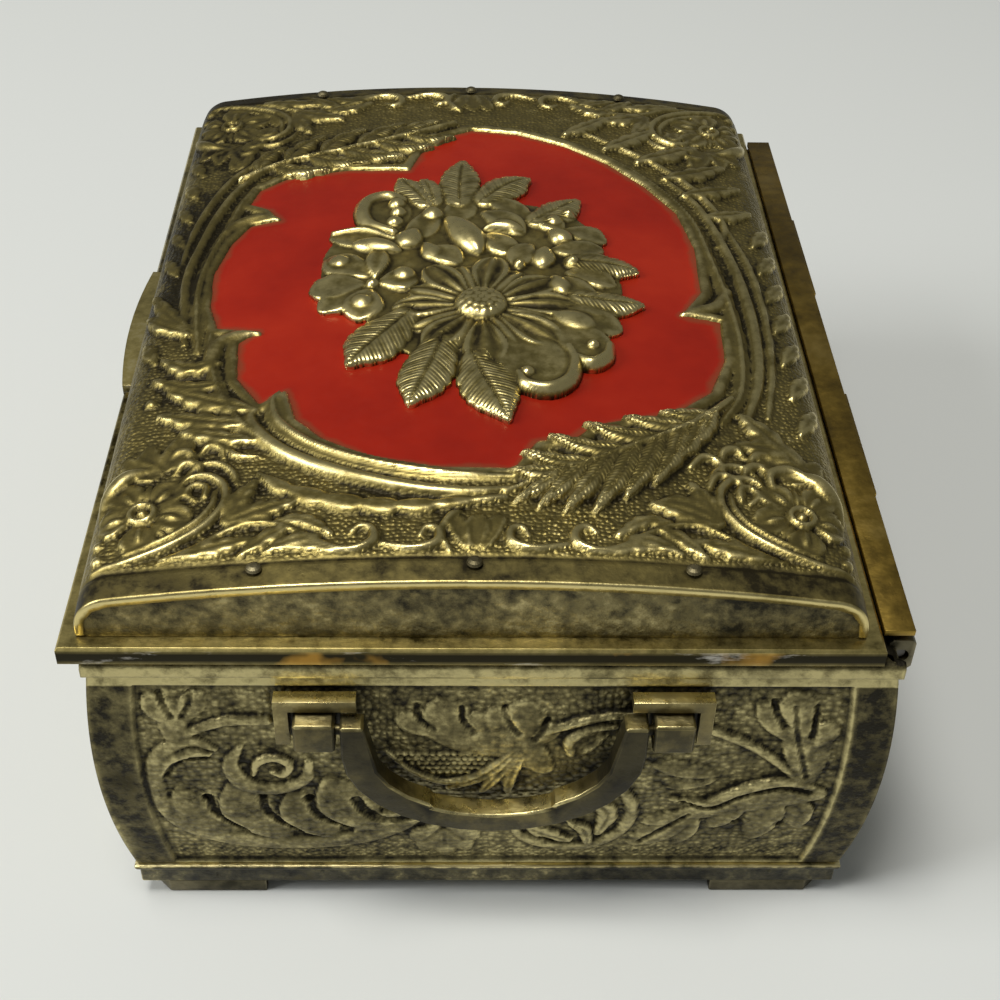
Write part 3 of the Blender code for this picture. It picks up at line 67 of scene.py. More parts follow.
LINING_SPAN, LINING_LONG_HALF, FLOOR_PAD_THICK = (-40.35, 42.05), 55.2, 1.6
LID_PAD, LID_PAD_HALF, LID_PAD_TOP, LID_PAD_THICK = (-40.85, 37.75), 53.8, 48.9, 4.5
LINING_GAP = 0.3

# The ornament, in millimetres: the spacing of a leaf's veins, how far the drawing of the end walls is moved
# because it starts from the lid's middle, and the middles of two flowers
RIB_SPACING = 0.62
END_SHIFT = 2.4
CORNER_FLOWER, DAISY = (-36.9, -45.6), (1.0, -9.2)


# Relief tools

def curve(rows, spacing=0.35):
    """A smooth curve through rows of (x, y, half width, height), as evenly spaced rows."""
    rows = np.array(rows, float)
    padded = np.vstack([2 * rows[0] - rows[1], rows, 2 * rows[-1] - rows[-2]])
    out = []
    for k in range(len(rows) - 1):
        p0, p1, p2, p3 = padded[k:k + 4]
        count = max(2, int(np.hypot(*(p2 - p1)[:2]) / spacing))
        t = np.linspace(0, 1, count, endpoint=False)[:, None]
        out.append(0.5 * (2 * p1 + (p2 - p0) * t + (2 * p0 - 5 * p1 + 4 * p2 - p3) * t ** 2
                          + (3 * p1 - p0 - 3 * p2 + p3) * t ** 3))
    out.append(rows[-1:])
    points = np.vstack(out)
    points[:, 2:] = np.maximum(points[:, 2:], 0.02)
    return points


def around(middle, reach, angle):
    """The place at a distance from a middle, in the direction of an angle in radians."""
    return middle[0] + reach * math.cos(angle), middle[1] + reach * math.sin(angle)


def blur(field, radius):
    """Gaussian blur by a radius in cells."""
    reach = max(1, int(3 * radius))
    kernel = np.exp(-0.5 * (np.arange(-reach, reach + 1) / radius) ** 2)
    kernel /= kernel.sum()
    padded = np.pad(field, reach, mode="edge")
    rows = sum(w * padded[:, k:k + field.shape[1]] for k, w in enumerate(kernel))
    return sum(w * rows[k:k + field.shape[0]] for k, w in enumerate(kernel))


# The cross sections of a lobe. s runs from -1 to 1 across it, edge falls from 1 to 0 towards its rim
SECTIONS = {
    "dome": lambda s, edge: edge ** 0.55,
    "flat": lambda s, edge: edge ** 0.25,
    "fold": lambda s, edge: (0.66 + 0.34 * s) * edge ** 0.22,
    "soft": lambda s, edge: (0.58 + 0.55 * s ** 2) * edge ** 0.3,
    "cup": lambda s, edge: (0.32 + 0.90 * s ** 2) * edge ** 0.22 + 0.18 * np.exp(-(s / 0.14) ** 2),
    "ribbed": lambda s, edge: (0.62 + 0.3 * s ** 2) * edge ** 0.3 + 0.21 * np.cos(2 * np.pi * s),
}


class Relief:
    """A height map in millimetres over a flat sheet, with the veins of its leaves."""

    def __init__(self, xs, ys, ground=0.0):
        self.xs, self.ys = np.asarray(xs, float), np.asarray(ys, float)
        self.X, self.Y = np.meshgrid(self.xs, self.ys)
        self.h = np.full(self.X.shape, float(ground))
        self.rib, self.hatch = np.zeros(self.X.shape), np.zeros(self.X.shape)

    def window(self, x0, y0, x1, y1):
        """The part of the sheet inside a rectangle, as slices."""
        i0, i1 = np.searchsorted(self.xs, (x0, x1))
        j0, j1 = np.searchsorted(self.ys, (y0, y1))
        return slice(j0, j1), slice(i0, i1)

    def stroke(self, rows, flutes=0, power=0.5, cut=False):
        """A ridge, or with cut a groove, along a curve of (x, y, half width, height)."""
        points = curve(rows)
        drawn = np.zeros(self.h.shape)
        for a, b in zip(points, points[1:]):
            reach = max(a[2], b[2]) + 0.05
            win = self.window(min(a[0], b[0]) - reach, min(a[1], b[1]) - reach,
                              max(a[0], b[0]) + reach, max(a[1], b[1]) + reach)
            x, y = self.X[win] - a[0], self.Y[win] - a[1]
            if x.size == 0:
                continue
            dx, dy = b[0] - a[0], b[1] - a[1]
            length = math.hypot(dx, dy) + 1e-9
            along = np.clip((x * dx + y * dy) / length ** 2, 0, 1)
            across = (x * dy - y * dx) / length
            distance = np.hypot(x - along * dx, y - along * dy)
            width = a[2] + (b[2] - a[2]) * along
            height = a[3] + (b[3] - a[3]) * along
            shape = height * np.clip(1 - (distance / width) ** 2, 0, 1) ** power
            if flutes:
                shape = shape * (0.74 + 0.26 * np.cos(np.pi * flutes * np.clip(across / width, -1, 1)))
            drawn[win] = np.maximum(drawn[win], shape)
        self.h = np.where(drawn > 0, self.h - drawn if cut else np.maximum(self.h, drawn), self.h)

    def leaf(self, rows, height, lobes=6, notch=0.3, sweep=0.9, vein=0.28, fold=0.08, ribbed=False):
        """A broad leaf along a midrib of (x, y, half width). Its lobes and ribs sweep to its tip."""
        points = curve([(x, y, width, 1.0) for x, y, width in rows])
        steps = np.hypot(*np.diff(points[:, :2], axis=0).T) + 1e-9
        arcs = np.concatenate([[0.0], np.cumsum(steps)])
        reach = points[:, 2].max() + 0.1
        win = self.window(points[:, 0].min() - reach, points[:, 1].min() - reach,
                          points[:, 0].max() + reach, points[:, 1].max() + reach)
        X, Y = self.X[win], self.Y[win]
        best, arc, across = np.full(X.shape, 1e9), np.zeros(X.shape), np.zeros(X.shape)
        for a, b, start, step in zip(points, points[1:], arcs, steps):
            dx, dy = (b[0] - a[0]) / step, (b[1] - a[1]) / step
            x, y = X - a[0], Y - a[1]
            along = np.clip(x * dx + y * dy, 0, step)
            distance = np.hypot(x - along * dx, y - along * dy)
            nearer = distance < best
            best = np.where(nearer, distance, best)
            arc = np.where(nearer, start + along, arc)
            across = np.where(nearer, y * dx - x * dy, across)
        rib = arc - sweep * best
        scallop = np.abs(np.sin(np.pi * rib / arcs[-1] * lobes)) ** 0.5
        limit = np.interp(arc, arcs, points[:, 2]) * (1 - notch + notch * scallop)
        ratio = best / np.maximum(limit, 0.05)
        shape = np.clip(1 - ratio ** 2, 0, 1) ** 0.35 * (1 - fold + fold * scallop)
        shape = shape - vein * np.exp(-(best / 0.25) ** 2)
        value = height * shape
        won = (ratio < 1) & (value > self.h[win])
        self.h[win] = np.where(won, value, self.h[win])
        self.rib[win] = np.where(won, rib + 40 * (across > 0), self.rib[win])
        veins = ribbed * np.clip(4 * (1 - ratio), 0, 1) * np.clip(best / 0.4, 0, 1)
        self.hatch[win] = np.where(won, veins, self.hatch[win])

    def lobe(self, x0, y0, x1, y1, width, height, style="dome", bend=0.0, full=0.8):
        """A petal or leaf from its root to its tip. bend bows its axis, full rounds its outline."""
        length = math.hypot(x1 - x0, y1 - y0)
        ux, uy = (x1 - x0) / length, (y1 - y0) / length
        reach = width / 2 + abs(bend) * length + 0.3
        win = self.window(min(x0, x1) - reach, min(y0, y1) - reach, max(x0, x1) + reach, max(y0, y1) + reach)
        x, y = self.X[win] - x0, self.Y[win] - y0
        u = (x * ux + y * uy) / length
        along = np.clip(u, 1e-4, 1 - 1e-4)
        across = -x * uy + y * ux - bend * length * 4 * along * (1 - along)
        outline = np.sin(np.pi * along ** full) ** 0.62 * width / 2
        s = across / np.maximum(outline, 1e-3)
        inside = (u > 0) & (u < 1) & (np.abs(s) < 1)
        rise = np.clip(4 * along * (1 - along), 0, 1) ** 0.35
        value = height * rise * SECTIONS[style](s, np.clip(1 - s ** 2, 0, 1))
        self.h[win] = np.where(inside, np.maximum(self.h[win], value), self.h[win])

    def dome(self, x, y, radius, height, base=0.0, sink=False):
        """A round boss on a level base, or with sink one that is added to what is there."""
        win = self.window(x - radius, y - radius, x + radius, y + radius)
        r = np.hypot(self.X[win] - x, self.Y[win] - y) / radius
        rise = height * np.sqrt(np.clip(1 - r ** 2, 0, 1))
        drawn = self.h[win] + rise if sink else np.maximum(self.h[win], base + rise)
        self.h[win] = np.where(r < 1, drawn, self.h[win])

    def ring(self, x, y, radius, half_width, height):
        reach = radius + half_width
        win = self.window(x - reach, y - reach, x + reach, y + reach)
        r = (np.hypot(self.X[win] - x, self.Y[win] - y) - radius) / half_width
        drawn = np.maximum(self.h[win], height * np.sqrt(np.clip(1 - r ** 2, 0, 1)))
        self.h[win] = np.where(np.abs(r) < 1, drawn, self.h[win])

    def wear_and_shade(self, cell, fine, broad, sharp=1.15):
        """0 in the hollows, 1 on the rubbed heights."""
        near = self.h - blur(self.h, fine / cell)
        far = self.h - blur(self.h, broad / cell)
        return np.clip(0.50 + sharp * near + 0.24 * far, 0, 1)


class Placed:
    """Draws on a relief with its places moved by dx, and mirrored where mx or my is -1."""

    def __init__(self, relief, dx=0.0, mx=1, my=1):
        self.relief, self.dx, self.mx, self.my = relief, dx, mx, my

    def at(self, x, y):
        return self.mx * (x + self.dx), self.my * y

    def stroke(self, *rows, **kw):
        self.relief.stroke([(*self.at(x, y), width, height) for x, y, width, height in rows], **kw)

    def crease(self, depth, half_width, *places):
        self.stroke(*((x, y, half_width, depth) for x, y in places), cut=True)

    def leaf(self, height, *rows, **kw):
        self.relief.leaf([(*self.at(x, y), width) for x, y, width in rows], height, **kw)

    def lobe(self, x0, y0, x1, y1, width, height, style="dome", bend=0.0, **kw):
        bend = bend * self.mx * self.my
        self.relief.lobe(*self.at(x0, y0), *self.at(x1, y1), width, height, style, bend, **kw)

    def ray(self, middle, start, end, turn, *sizes, **kw):
        """A lobe that points away from a middle, between two distances from it. turn is in degrees."""
        angle = math.radians(turn)
        self.lobe(*around(middle, start, angle), *around(middle, end, angle), *sizes, **kw)

    def dome(self, x, y, *sizes, **kw):
        self.relief.dome(*self.at(x, y), *sizes, **kw)

    def ring(self, x, y, *sizes):
        self.relief.ring(*self.at(x, y), *sizes)

    def pit(self, x, y, radius, depth):
        self.dome(x, y, radius, -depth, sink=True)


def polygon_distance(X, Y, points):
    """Distance to a closed outline, positive inside."""
    best = np.full(X.shape, 1e9)
    inside = np.zeros(X.shape, bool)
    for (ax, ay), (bx, by) in zip(points, np.roll(points, -1, axis=0)):
        dx, dy = bx - ax, by - ay
        t = np.clip(((X - ax) * dx + (Y - ay) * dy) / (dx * dx + dy * dy + 1e-12), 0, 1)
        best = np.minimum(best, np.hypot(X - ax - t * dx, Y - ay - t * dy))
        crosses = ((ay > Y) != (by > Y)) & (X < (bx - ax) * (Y - ay) / (by - ay + 1e-12) + ax)
        inside ^= crosses
    return np.where(inside, best, -best)


# Mesh tools

def linked(name, data):
    """A new object of the scene that shows some data."""
    obj = bpy.data.objects.new(name, data)
    bpy.context.scene.collection.objects.link(obj)
    return obj


def mesh_object(name, points, quads, values, triangles=()):
    """A smooth mesh from arrays. points are millimetres; values are attributes, one number a vertex."""
    points = points * MM
    triangles = np.asarray(triangles, np.int64).reshape(-1, 3)
    mesh = bpy.data.meshes.new(name)
    mesh.vertices.add(len(points))
    mesh.vertices.foreach_set("co", points.astype(np.float32).ravel())
    loops = np.concatenate([quads.ravel(), triangles.ravel()]).astype(np.int32)
    starts = np.concatenate([np.arange(len(quads)) * 4, len(quads) * 4 + np.arange(len(triangles)) * 3])
    mesh.loops.add(len(loops))
    mesh.loops.foreach_set("vertex_index", loops)
    mesh.polygons.add(len(starts))
    mesh.polygons.foreach_set("loop_start", starts.astype(np.int32))
    mesh.update(calc_edges=True)
    mesh.validate()
    for key, value in values.items():
        attribute = mesh.attributes.new(key, "FLOAT", "POINT")
        attribute.data.foreach_set("value", value.astype(np.float32))
    mesh.shade_smooth()
    return linked(name, mesh)


def grid_quads(rows, columns, offset=0, flip=False):
    """The faces between the places of a grid, whose numbers start at offset."""
    index = offset + np.arange(rows * columns).reshape(rows, columns)
    quads = np.stack([index[:-1, :-1], index[:-1, 1:], index[1:, 1:], index[1:, :-1]], axis=-1).reshape(-1, 4)
    return quads[:, ::-1] if flip else quads


def closed_plate(name, front, back, values):
    """A closed sheet: a fine front grid, a coarse back grid, and a rim of triangles between them."""
    rows, columns = front.shape[:2]
    coarse_rows, coarse_columns = back.shape[:2]
    fine = np.arange(rows * columns).reshape(rows, columns)
    coarse = rows * columns + np.arange(coarse_rows * coarse_columns).reshape(coarse_rows, coarse_columns)
    back_quads = grid_quads(coarse_rows, coarse_columns, rows * columns, True)
    quads = np.vstack([grid_quads(rows, columns), back_quads])
    triangles = []
    for outer, inner, flip in (
            (fine[0], coarse[0], False), (fine[-1], coarse[-1], True), (fine[:, 0], coarse[:, 0], True),
            (fine[:, -1], coarse[:, -1], False)):
        for k in range(len(inner) - 1):
            part = outer[k * BACK_STEP:(k + 1) * BACK_STEP + 1]
            fan = [(inner[k], part[m + 1], part[m]) for m in range(BACK_STEP)]
            fan.append((inner[k], inner[k + 1], part[-1]))
            triangles.extend([t[::-1] for t in fan] if flip else fan)
    plain = np.full(coarse_rows * coarse_columns, BACK_VALUE)
    filled = {key: np.concatenate([np.ravel(value), plain]) for key, value in values.items()}
    return mesh_object(name, np.vstack([front.reshape(-1, 3), back.reshape(-1, 3)]), quads, filled, triangles)


def on_outline(X, Y, level, threshold):
    """The grid's places, those beside the level's outline moved onto it, and which of them are inside."""
    step = X[0, 1] - X[0, 0]
    slope_y, slope_x = np.gradient(level, step)
    size = slope_x ** 2 + slope_y ** 2 + 1e-6
    inside = level > threshold
    padded = np.pad(inside, 1, mode="edge")
    near = np.stack([padded[1 + j:padded.shape[0] - 1 + j, 1 + i:padded.shape[1] - 1 + i]
                     for j in (-1, 0, 1) for i in (-1, 0, 1)])
    border = inside & ~near.all(axis=0)
    move = np.where(border, (threshold - level) / size, 0.0)
    limit = 0.7 * step
    return X + np.clip(move * slope_x, -limit, limit), Y + np.clip(move * slope_y, -limit, limit), inside


def masked_slab(name, front, back, mask, values):
    """The cells of a grid where mask holds, as a closed slab between two sheets of points."""
    rows, columns = front.shape[:2]
    cell = mask[:-1, :-1] & mask[1:, :-1] & mask[:-1, 1:] & mask[1:, 1:]
    index = np.arange(rows * columns).reshape(rows, columns)
    a, b, c, d = index[:-1, :-1], index[:-1, 1:], index[1:, 1:], index[1:, :-1]
    top = np.stack([a, b, c, d], axis=-1)[cell]
    count = rows * columns
    bottom = top[:, ::-1] + count
    sides = []
    padded = np.pad(cell, 1)
    for shift, (p, q) in (((-1, 0), (a, b)), ((0, 1), (b, c)), ((1, 0), (c, d)), ((0, -1), (d, a))):
        beside = padded[1 + shift[0]:1 + shift[0] + rows - 1, 1 + shift[1]:1 + shift[1] + columns - 1]
        edge = cell & ~beside
        sides.append(np.stack([q[edge], p[edge], p[edge] + count, q[edge] + count], axis=-1))
    quads = np.vstack([top, bottom] + sides)
    used, renumbered = np.unique(quads, return_inverse=True)
    points = np.vstack([front.reshape(-1, 3), back.reshape(-1, 3)])[used]
    kept = {key: np.concatenate([np.ravel(value)] * 2)[used] for key, value in values.items()}
    return mesh_object(name, points, renumbered.reshape(-1, 4), kept)


# The lid's surface

def peak(y):
    """How high the lid's middle stands over the flange: a slight arch between two falling bands."""
    inner = GABLE_Y - BAND
    y = np.abs(y)
    band = GABLE_HEIGHT + BAND_RISE * (GABLE_Y - y) / BAND
    crown = GABLE_HEIGHT + BAND_RISE + CROWN_RISE * (1 - (y / inner) ** 2)
    return np.where(y >= inner, band, crown)


def dome_frame(s, y):
    """Where the arc length s across and the place y along lie on the lid, and which way is out."""
    side, reach = np.sign(s), np.abs(s)
    angle = np.where(reach <= ARC_CROWN, reach / CROWN_R, LEAN + (reach - ARC_CROWN) / SHOULDER_R)
    angle = np.minimum(angle, math.pi / 2)
    top = FLANGE_TOP + peak(y)
    on_crown = reach <= ARC_CROWN
    x = np.where(on_crown, CROWN_R * np.sin(angle), RUN + SHOULDER_R * np.sin(angle))
    z = np.where(on_crown, top - CROWN_R * (1 - np.cos(angle)), top - DROP + SHOULDER_R * np.cos(angle))
    # the foot of each side comes straight down to one level, however high the lid is there
    foot = (top - DROP - DOME_BASE) / (ARC_FOOT - ARC_END)
    z = z - np.maximum(reach - ARC_END, 0) * foot
    place = np.stack([LID_X + side * x, y + 0 * x, z], axis=-1)
    out = np.stack([side * np.sin(angle), 0 * x, np.cos(angle)], axis=-1)
    return place, out


# The outline of the red field, across and along the lid
CARTOUCHE = np.array([
    (4.5, -40.2), (-5.0, -40.0), (-12.0, -38.0), (-17.5, -34.5), (-21.0, -30.5), (-22.5, -25.0),
    (-25.5, -27.5), (-28.8, -22.0), (-29.5, -14.5), (-27.3, -12.4), (-32.5, -11.0), (-34.0, -6.0),
    (-34.6, 2.0), (-33.0, 9.5), (-30.8, 14.0), (-26.8, 15.0), (-28.5, 18.0), (-31.5, 20.0),
    (-30.5, 24.0), (-26.0, 27.6), (-18.0, 28.4), (-9.0, 27.8), (-7.5, 33.0), (-4.5, 38.0),
    (0.0, 40.6), (7.0, 39.6), (14.0, 36.3), (20.0, 31.6), (25.0, 25.5), (29.0, 18.5), (30.6, 9.0),
    (30.2, -2.0), (27.0, -7.8), (32.0, -8.6), (31.6, -17.0), (29.0, -24.0), (24.0, -28.8),
    (14.0, -32.0), (12.0, -34.4), (7.2, -35.4)])


def corner_ornament(r, mx, my):
    """Flower, scrolls and sprays of one corner, drawn for the near left one."""
    d = Placed(r, mx=mx, my=my)
    # leaves above the flower
    d.lobe(-35.6, -39.4, -40.8, -35.4, 3.4, 0.75, "cup", 0.1)
    d.lobe(-35.8, -38.6, -33.4, -31.4, 3.4, 0.8, "cup", -0.06)
    d.lobe(-36.8, -38.8, -37.6, -33.4, 2.8, 0.7, "cup", 0.06)
    # crescent over the flower and the curls between it and the frame
    d.stroke(
        (-42.2, -45.0, 0.4, 0.3), (-41.6, -41.8, 0.9, 0.9), (-39.6, -39.2, 1.1, 1.1),
        (-37.2, -38.2, 0.5, 0.5))
    for x, y, size in ((-33.6, -36.6, 0.9), (-32.6, -38.8, 1.0), (-30.2, -36.0, 0.9)):
        d.stroke(
            (x - 1.6 * size, y - 0.4, 0.25, 0.3), (x - 0.6, y + 1.2 * size, 0.55, 0.75),
            (x + 1.0, y + 0.8 * size, 0.6, 0.8), (x + 1.7 * size, y - 1.2, 0.3, 0.4))
    # the doubled S-scroll with its inner spiral
    d.stroke(
        (-33.4, -42.0, 0.3, 0.4), (-32.2, -40.2, 0.45, 0.7), (-29.8, -40.2, 0.5, 0.8),
        (-28.0, -42.2, 0.55, 0.85), (-27.9, -45.4, 0.6, 0.85), (-29.8, -48.6, 0.6, 0.85),
        (-33.4, -51.2, 0.6, 0.8), (-38.0, -53.0, 0.5, 0.6), (-41.6, -53.6, 0.3, 0.3))
    d.stroke(
        (-29.0, -42.6, 0.3, 0.4), (-29.2, -45.2, 0.45, 0.65), (-30.8, -47.8, 0.5, 0.7),
        (-34.2, -50.2, 0.45, 0.65), (-38.2, -51.9, 0.3, 0.4))
    d.stroke(
        (-31.2, -44.0, 0.3, 0.4), (-32.3, -42.8, 0.4, 0.6), (-31.6, -41.4, 0.4, 0.65),
        (-30.2, -41.8, 0.4, 0.65), (-30.2, -43.6, 0.35, 0.5))
    d.stroke(
        (-33.0, -40.4, 0.25, 0.3), (-31.6, -38.2, 0.4, 0.6), (-29.2, -38.0, 0.45, 0.7),
        (-27.4, -39.6, 0.4, 0.6), (-26.6, -42.0, 0.25, 0.3))
    # the flower
    for angle, size in ((126, 1.0), (52, 1.04), (-16, 1.0), (-88, 1.06), (198, 0.9)):
        d.ray(CORNER_FLOWER, 1.2, 5.9 * size, angle, 4.3, 0.8, "cup", full=1.45)
        d.ray(CORNER_FLOWER, 1.8, 4.6 * size, angle, 1.2, 0.74, full=1.3)
    for angle in (88, 18, -52, -140, 162):
        d.ray(CORNER_FLOWER, 1.6, 5.0, angle, 1.0, 0.55)
    d.ring(*CORNER_FLOWER, 1.35, 0.4, 0.95)
    d.dome(*CORNER_FLOWER, 0.75, 0.85)
    # trefoil and sprays along the end
    d.leaf(0.75, (-27.4, -47.8, 0.6), (-26.2, -44.6, 1.5), (-24.6, -41.6, 0.5), lobes=4, notch=0.35)
    d.leaf(0.75, (-27.0, -48.2, 0.6), (-24.0, -46.8, 2.0), (-20.0, -45.4, 0.6), lobes=4, notch=0.35)
    d.stroke(
        (-34.0, -53.2, 0.3, 0.35), (-30.0, -51.4, 0.4, 0.55), (-26.0, -48.9, 0.45, 0.6),
        (-22.5, -48.6, 0.4, 0.6), (-18.6, -50.4, 0.4, 0.55), (-15.0, -52.7, 0.25, 0.3))
    d.leaf(0.7, (-32.4, -53.0, 0.5), (-28.0, -51.9, 1.5), (-24.2, -51.0, 0.5), lobes=4, notch=0.35)
    d.leaf(0.7, (-25.0, -53.2, 0.5), (-22.4, -50.8, 1.4), (-20.2, -49.2, 0.4), lobes=3, notch=0.35)
    d.leaf(0.7, (-22.4, -53.0, 0.4), (-19.6, -51.6, 1.2), (-17.0, -50.9, 0.4), lobes=3, notch=0.35)
    d.leaf(0.7, (-21.4, -48.2, 0.5), (-18.6, -48.4, 1.2), (-15.6, -50.6, 0.4), lobes=4, notch=0.4)
    # beads in the very corner
    d.dome(-41.2, -52.0, 0.8, 0.6)
    d.dome(-41.6, -49.4, 0.7, 0.5)


def end_ornament(r, my):
    """Shell and S-scrolls in the middle of one end."""
    d = Placed(r, my=my)
    for root, tip, width in ((-0.64, -2.4, 2.2), (0.08, 0.4, 2.8), (0.8, 3.0, 2.2)):
        d.lobe(root, -53.6, tip, -47.6, width, 0.7, "cup", full=1.3)
    d.stroke(
        (-2.6, -53.7, 0.3, 0.4), (-3.6, -50.8, 0.45, 0.6), (-2.6, -48.2, 0.5, 0.75),
        (-1.6, -47.6, 0.3, 0.5))
    for mx in (-1, 1):
        d = Placed(r, mx=mx, my=my)
        d.stroke(
            (5.9, -51.2, 0.3, 0.4), (5.2, -49.9, 0.4, 0.6), (3.9, -50.4, 0.5, 0.7), (4.1, -52.3, 0.6, 0.8),
            (6.6, -53.2, 0.5, 0.75), (10.0, -52.4, 0.35, 0.5))
        d.stroke(
            (13.4, -50.4, 0.3, 0.4), (12.4, -49.5, 0.4, 0.6), (11.0, -50.2, 0.5, 0.7),
            (11.2, -52.2, 0.6, 0.8), (13.8, -53.2, 0.5, 0.7), (17.6, -51.6, 0.35, 0.5),
            (22.5, -50.2, 0.3, 0.35))
        d.leaf(0.6, (14.6, -53.4, 0.4), (17.4, -52.4, 0.9), (20.2, -52.6, 0.3), lobes=3, notch=0.4)


def frame_ornament(r):
    """The flowing frame round the red field."""
    # lower left: the fluted ribbon that ends in the horn, and the strands beside it
    r.stroke(
        [(-23.2, -25.0, 0.25, 0.35), (-23.9, -27.4, 0.9, 0.85), (-22.6, -31.6, 1.35, 1.05),
        (-18.2, -36.0, 1.4, 1.1), (-11.6, -39.4, 1.35, 1.1), (-3.6, -41.3, 1.1, 1.0),
        (4.6, -41.8, 0.5, 0.6)], flutes=2)
    r.stroke(
        [(-26.4, -27.4, 0.3, 0.4), (-25.9, -31.6, 0.9, 0.9), (-21.6, -36.9, 1.05, 1.05),
        (-15.0, -40.9, 1.1, 1.1), (-7.6, -43.5, 1.05, 1.05), (-1.0, -44.4, 0.85, 0.9),
        (4.4, -43.6, 0.4, 0.5)], power=0.6)
    r.stroke(
        [(-33.4, -10.5, 0.6, 0.5), (-32.6, -17.0, 0.9, 0.9), (-30.9, -24.0, 1.0, 1.0),
        (-27.6, -30.6, 1.0, 1.0), (-23.4, -35.8, 0.7, 0.8), (-20.0, -38.6, 0.3, 0.4)], flutes=2)
    r.leaf(
        [(-24.4, -40.4, 0.5), (-20.6, -43.4, 1.3), (-14.0, -45.9, 1.5), (-6.0, -46.6, 1.2),
        (3.6, -45.2, 0.4)], 0.75, lobes=7, notch=0.5, vein=0.1)
    # left side: folded strand with the lower horn
    r.stroke(
        [(-27.0, -12.7, 0.45, 0.35), (-29.6, -12.9, 0.85, 0.75), (-32.0, -15.0, 1.2, 0.95),
        (-32.6, -19.6, 1.0, 0.9)])
    r.stroke(
        [(-34.4, -16.0, 0.5, 0.5), (-35.4, -9.0, 1.0, 0.9), (-36.0, -1.0, 1.1, 1.0),
        (-35.2, 7.0, 1.0, 0.95), (-33.6, 14.0, 0.9, 0.9), (-32.6, 20.0, 0.8, 0.8), (-30.6, 25.6, 0.6, 0.6)],
        flutes=2)
    r.stroke(
        [(-36.4, -14.0, 0.4, 0.4), (-37.4, -6.0, 0.7, 0.75), (-38.0, 2.0, 0.8, 0.8),
        (-37.0, 10.0, 0.8, 0.8), (-35.6, 18.0, 0.75, 0.8), (-33.2, 25.4, 0.6, 0.7),
        (-28.8, 31.0, 0.4, 0.5)])
    r.stroke(
        [(-39.4, 4.0, 0.35, 0.3), (-38.8, 12.0, 0.6, 0.6), (-37.4, 20.0, 0.65, 0.65),
        (-34.8, 28.0, 0.6, 0.6), (-30.6, 34.0, 0.4, 0.4)])
    r.stroke(
        [(-26.9, 15.2, 0.4, 0.35), (-29.4, 15.9, 0.8, 0.75), (-32.2, 14.6, 1.0, 0.9),
        (-34.2, 11.6, 0.8, 0.8)])
    # fan leaf and folds at the left
    for rows in (
            ((-36.2, -11.0, 0.5), (-39.2, -7.4, 1.5), (-42.0, -1.6, 0.5)),
            ((-36.2, -12.0, 0.5), (-39.8, -9.6, 1.4), (-42.2, -6.4, 0.4)),
            ((-26.0, -29.0, 0.6), (-31.0, -27.0, 2.1), (-36.6, -24.2, 0.6)),
            ((-26.6, -31.6, 0.6), (-31.6, -30.6, 2.0), (-37.4, -28.6, 0.5)),
            ((-25.4, -34.6, 0.5), (-29.6, -33.6, 1.5), (-34.2, -32.0, 0.5)),
            ((-31.4, -19.0, 0.6), (-35.0, -19.6, 1.7), (-38.6, -17.4, 0.5)),
            ((-30.4, -23.4, 0.6), (-34.6, -23.6, 1.6), (-39.0, -21.4, 0.5))):
        r.leaf(rows, 1.0, lobes=4, notch=0.35)
    r.dome(-38.9, -25.6, 0.8, 0.6)
    r.stroke([(-24.6, -37.2, 0.3, 0.4), (-27.2, -36.8, 0.5, 0.65), (-28.6, -35.0, 0.4, 0.5)])
    # large leaf at the lower right: leaflets on both sides of its midrib, the longer ones towards the end
    for rows in (
            ((28.6, -28.8, 0.9), (27.2, -32.2, 1.2), (25.0, -35.6, 0.3)),
            ((27.0, -30.2, 1.0), (25.4, -34.4, 1.5), (22.6, -38.6, 0.3)),
            ((24.6, -32.4, 1.1), (23.0, -37.0, 1.6), (20.4, -42.0, 0.3)),
            ((21.6, -34.4, 1.2), (19.8, -39.2, 1.7), (16.9, -44.6, 0.3)),
            ((18.6, -36.4, 1.2), (16.6, -41.2, 1.7), (13.3, -47.0, 0.3)),
            ((15.6, -38.2, 1.2), (13.2, -42.4, 1.6), (10.0, -47.2, 0.3)),
            ((12.4, -39.8, 1.1), (10.2, -43.0, 1.4), (7.2, -46.6, 0.3)),
            ((9.4, -41.2, 1.0), (7.4, -43.6, 1.1), (4.6, -45.8, 0.3))):
        r.leaf(rows, 1.15, lobes=3, notch=0.3, sweep=0.8, ribbed=True)
    for rows in (
            ((28.4, -29.0, 0.8), (25.4, -29.6, 1.5), (22.2, -29.2, 0.3)),
            ((25.4, -31.6, 1.0), (21.8, -31.8, 1.7), (17.6, -30.6, 0.3)),
            ((21.8, -34.2, 1.1), (17.6, -34.2, 1.8), (13.0, -32.2, 0.3)),
            ((17.8, -36.8, 1.1), (13.6, -36.8, 1.8), (8.6, -34.6, 0.3)),
            ((13.6, -39.2, 1.0), (10.0, -39.4, 1.6), (5.6, -37.6, 0.3)),
            ((10.0, -41.0, 0.9), (7.4, -41.4, 1.5), (4.0, -40.8, 0.3))):
        r.leaf(rows, 1.2, lobes=3, notch=0.3, sweep=0.8, ribbed=True)
    r.stroke(
        [(31.2, -25.6, 0.5, 1.15), (25.0, -31.8, 0.45, 1.3), (15.0, -38.2, 0.38, 1.25),
        (6.0, -42.8, 0.25, 0.9), (3.4, -44.4, 0.2, 0.5)])
